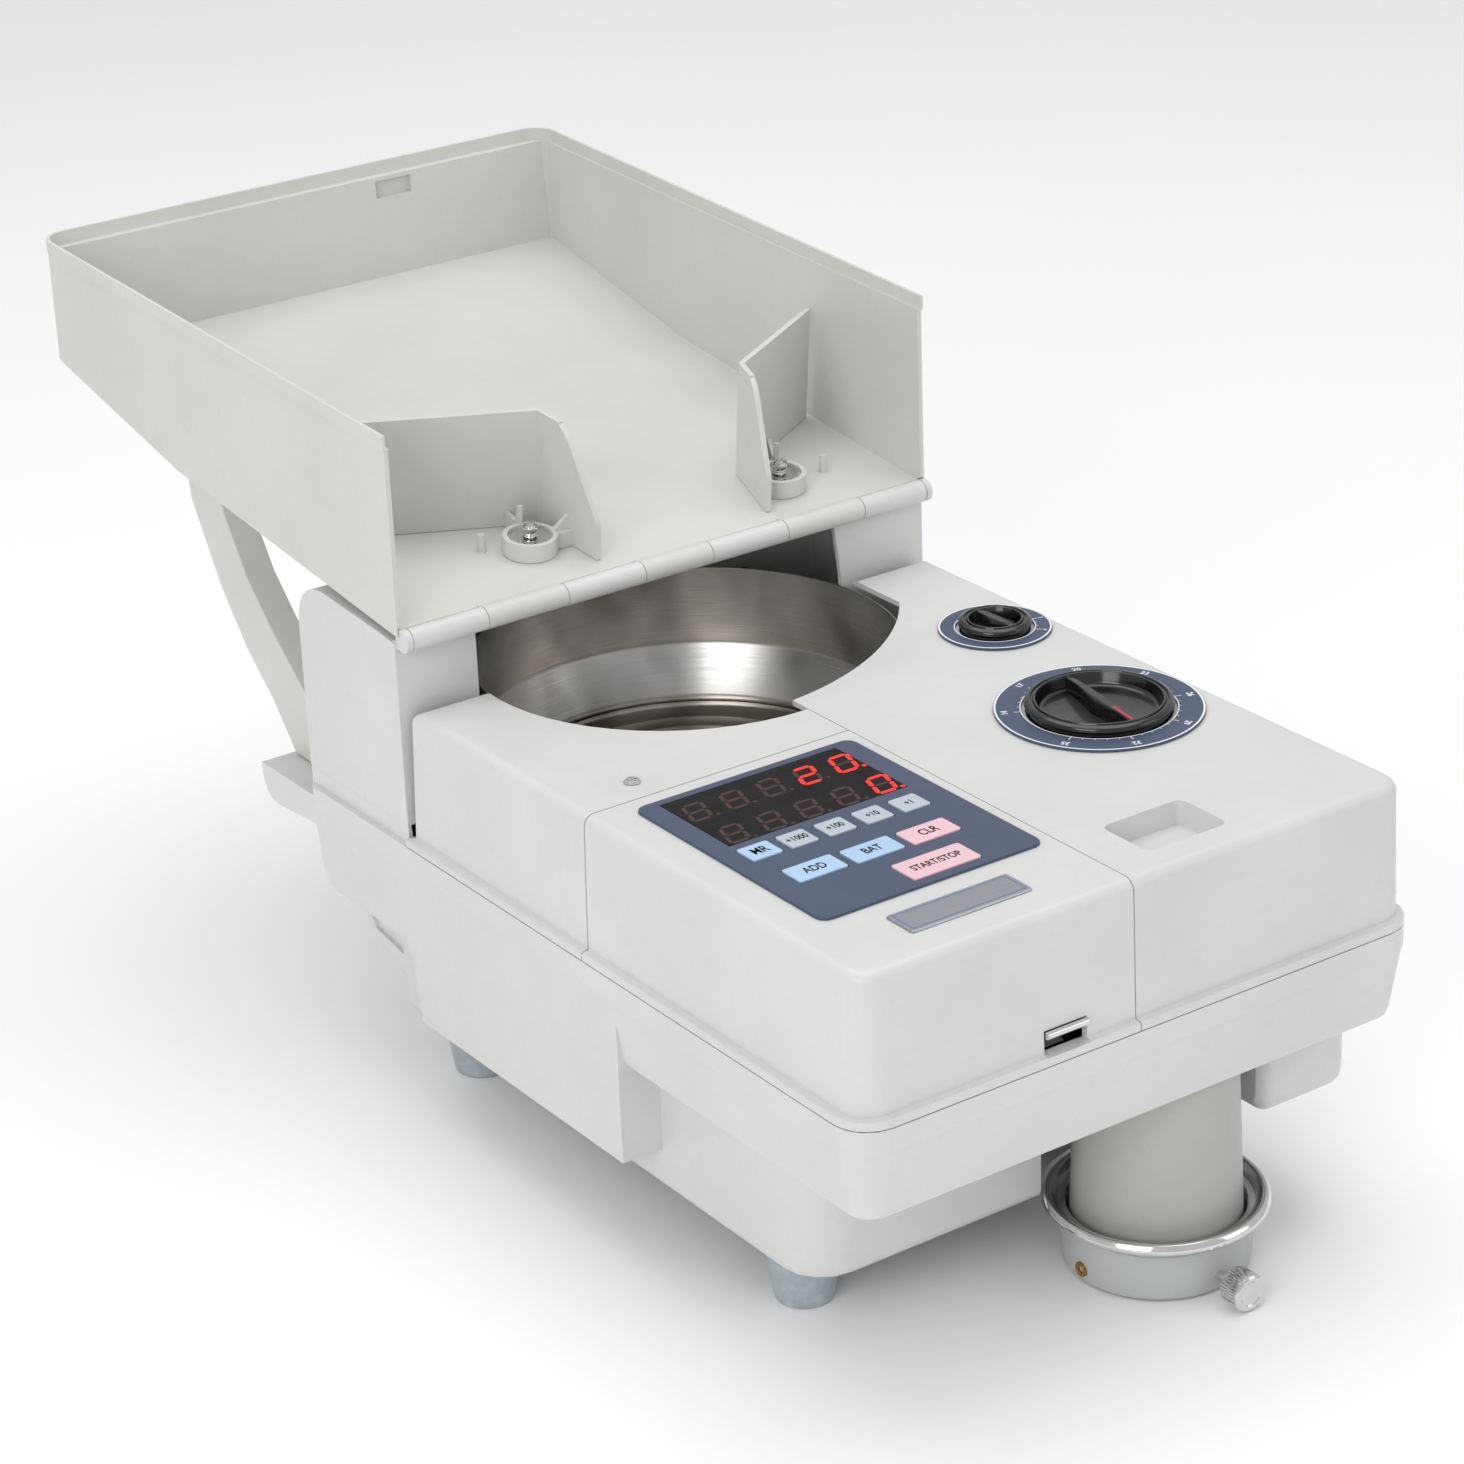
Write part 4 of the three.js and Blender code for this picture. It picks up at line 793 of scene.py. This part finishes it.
def thumb_screw():
    """A knurled head with a smooth, slightly dished face, on a plain shank."""
    low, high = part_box("thumb_screw")
    radius = (high.x - low.x) / 2
    centre = Vector(((low.x + high.x) / 2, 0, (low.z + high.z) / 2))
    teeth, tooth_depth = 40, 0.00045
    head, shank = 0.0132, 0.003
    length = high.y - low.y

    def tooth(r, z, k):
        knurled = r > radius * 0.9 and 0.0012 < z < head - 0.0008
        return r - tooth_depth if knurled and k % 4 in (0, 1) else r

    profile = [(0, 0.0005), (radius * 0.62, 0.0005), (radius * 0.7, 0.0), (radius * 0.88, 0.0),
               (radius * 0.97, 0.0008), (radius * 0.97, 0.00125), (radius, 0.00135),
               (radius, head - 0.0014), (radius * 0.96, head - 0.0004), (radius * 0.9, head),
               (shank, head), (shank, length), (0, length)]
    lay = Matrix.Translation((centre.x, low.y, centre.z)) @ Matrix.Rotation(-math.pi / 2, 4, "X")
    mesh = mesh_from("knurled_screw", lambda form: turn_profile(
        form, lay, [Vector(p) for p in profile], teeth * 4, tooth))
    add_piece("knurled_screw", mesh, "thumbscrew", "chrome", stands_for=["thumb_screw"],
              soft_angle=25)


thumb_screw()


def feet():
    """Four rubber pads with a screw recess underneath."""
    for end in ("front", "rear"):
        for side in ("left", "right"):
            node = f"foot_{end}_{side}"
            low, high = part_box(node)
            centre = (low + high) / 2
            wide = (high.x - low.x) / 2 / MM
            top = high.z / MM
            lathe(node + "_pad", centre, [
                (0, 6, 0), (5, 6), (5, 0), (wide - 5.5, 0, 1.2), (wide - 4.6, 3, 1),
                (wide, top, 0.6), (0, top, 0)],
                "base", "foot_rubber", 0.0005, 64, stands_for=[node])


feet()


# ---- Guide fixings: washer, spring and slotted nut on each pivot ----------
ANCHOR_LIFT = 0.005  # the record puts each guide's pivot point this far over the tray's deck


def coil(form, radius, wire, low, high, turns):
    """A compression spring as a round wire that climbs a helix."""
    steps, around = int(turns * 20), 8
    section = [2 * math.pi * i / around for i in range(around)]
    rows = []
    for k in range(steps + 1):
        t = k / steps
        angle = 2 * math.pi * turns * t
        out = Vector((math.cos(angle), math.sin(angle), 0))
        middle = out * radius + Vector((0, 0, low + (high - low) * t))
        rows.append([form.verts.new(middle + out * wire * math.cos(a)
                                    + Vector((0, 0, wire * math.sin(a)))) for a in section])
    for a, b in zip(rows, rows[1:]):
        for i in range(around):
            j = (i + 1) % around
            form.faces.new((a[i], a[j], b[j], b[i]))
    form.faces.new(list(reversed(rows[0])))
    form.faces.new(rows[-1])


def slotted_nut(form, low, high):
    """A castle nut: a hexagon whose crown has six slots."""
    corner, crown_outer, crown_inner = 0.0046, 0.0038, 0.0024
    shoulder = high - 0.0014
    outline = [(corner * math.cos(math.pi / 3 * k), corner * math.sin(math.pi / 3 * k))
               for k in range(6)]
    slab(form, outline, low, shoulder)
    for k in range(6):
        middle = math.pi / 3 * (k + 0.5)
        arc = [middle + d for d in (-0.34, -0.12, 0.12, 0.34)]
        points = [(crown_outer * math.cos(a), crown_outer * math.sin(a)) for a in arc]
        points += [(crown_inner * math.cos(a), crown_inner * math.sin(a)) for a in reversed(arc)]
        slab(form, points, shoulder, high)


def guide_fixing(side):
    """One pivot's fixing, built upright and then leaned onto the guide's axis."""
    joint = JOINTS[f"guide_{side}_swing"]
    axis = Vector(joint["axis"])
    upward = axis if axis.z > 0 else -axis
    deck = Vector(joint["pos_m"]) - upward * ANCHOR_LIFT
    place = Matrix.Translation(deck) @ Vector((0, 0, 1)).rotation_difference(
        upward).to_matrix().to_4x4()
    washer = [(2.4, 8), (10.8, 8), (10.8, 9.2), (2.4, 9.2)]
    stud = [(0, 0.6), (2.3, 0.6), (2.3, 16.2), (1.6, 16.9), (0, 16.9)]
    washers = mesh_from("washer", lambda form: turn_profile(
        form, place, [p * MM for p in rounded(washer, 0.3)], 64))
    studs = mesh_from("stud", lambda form: turn_profile(
        form, place, [Vector(p) * MM for p in stud], 32))
    spring = mesh_from("spring", lambda form: coil(form, 0.0036, 0.00055, 0.0096, 0.0131, 2.6))
    nut = mesh_from("nut", lambda form: slotted_nut(form, 0.0134, 0.0166))
    for mesh in (spring, nut):
        mesh.transform(place)
    add_piece(f"fixing_{side}", merge(f"fixing_{side}", [washers, studs, spring, nut]), "tray",
              "chrome", stands_for=[f"guide_screw_{side}"])


for hand in ("left", "right"):
    guide_fixing(hand)


# ---- Stage: floor and studio light ----------------------------------------
SKY, SKY_STRENGTH = (0.98, 0.985, 1, 1), 0.64
LIT_SPOT = (0, 0, 0.2)
SOFTBOXES = (  # name, place, width and height in metres, watts
    ("overhead", (0.2, 0.3, 2.6), (2.6, 2.2), 32),
    ("left_front", (-2.4, -1.6, 1.5), (1.6, 1.6), 27),
    ("right_front", (1.9, -2.2, 1.4), (1.4, 1.6), 6),
)


def pale_floor():
    mesh = mesh_from("floor", lambda form: bmesh.ops.create_grid(form, x_segments=2, y_segments=2,
                                                                 size=9))
    floor = bpy.data.objects.new("floor", mesh)
    bpy.context.scene.collection.objects.link(floor)
    shade = Shade("floor_paint", 0.6)
    shade.colour(shade.mix(shade.noise(3, 2), srgb("#fefefe"), srgb("#fbfbfb")))
    mesh.materials.append(shade.material)


def softbox(name, place, size, power):
    """A soft rectangular light that faces the machine."""
    data = bpy.data.lights.new(name, "AREA")
    data.shape = "RECTANGLE"
    data.size, data.size_y = size
    data.energy = power
    light = bpy.data.objects.new(name, data)
    light.location = place
    light.rotation_euler = (Vector(place) - Vector(LIT_SPOT)).to_track_quat("Z", "Y").to_euler()
    bpy.context.scene.collection.objects.link(light)


def studio():
    world = bpy.data.worlds.new("studio")
    world.use_nodes = True
    background = world.node_tree.nodes["Background"]
    background.inputs["Color"].default_value = SKY
    background.inputs["Strength"].default_value = SKY_STRENGTH
    bpy.context.scene.world = world
    bpy.context.scene.view_settings.view_transform = "Standard"
    for lamp in SOFTBOXES:
        softbox(*lamp)


pale_floor()
studio()

bpy.context.view_layer.update()
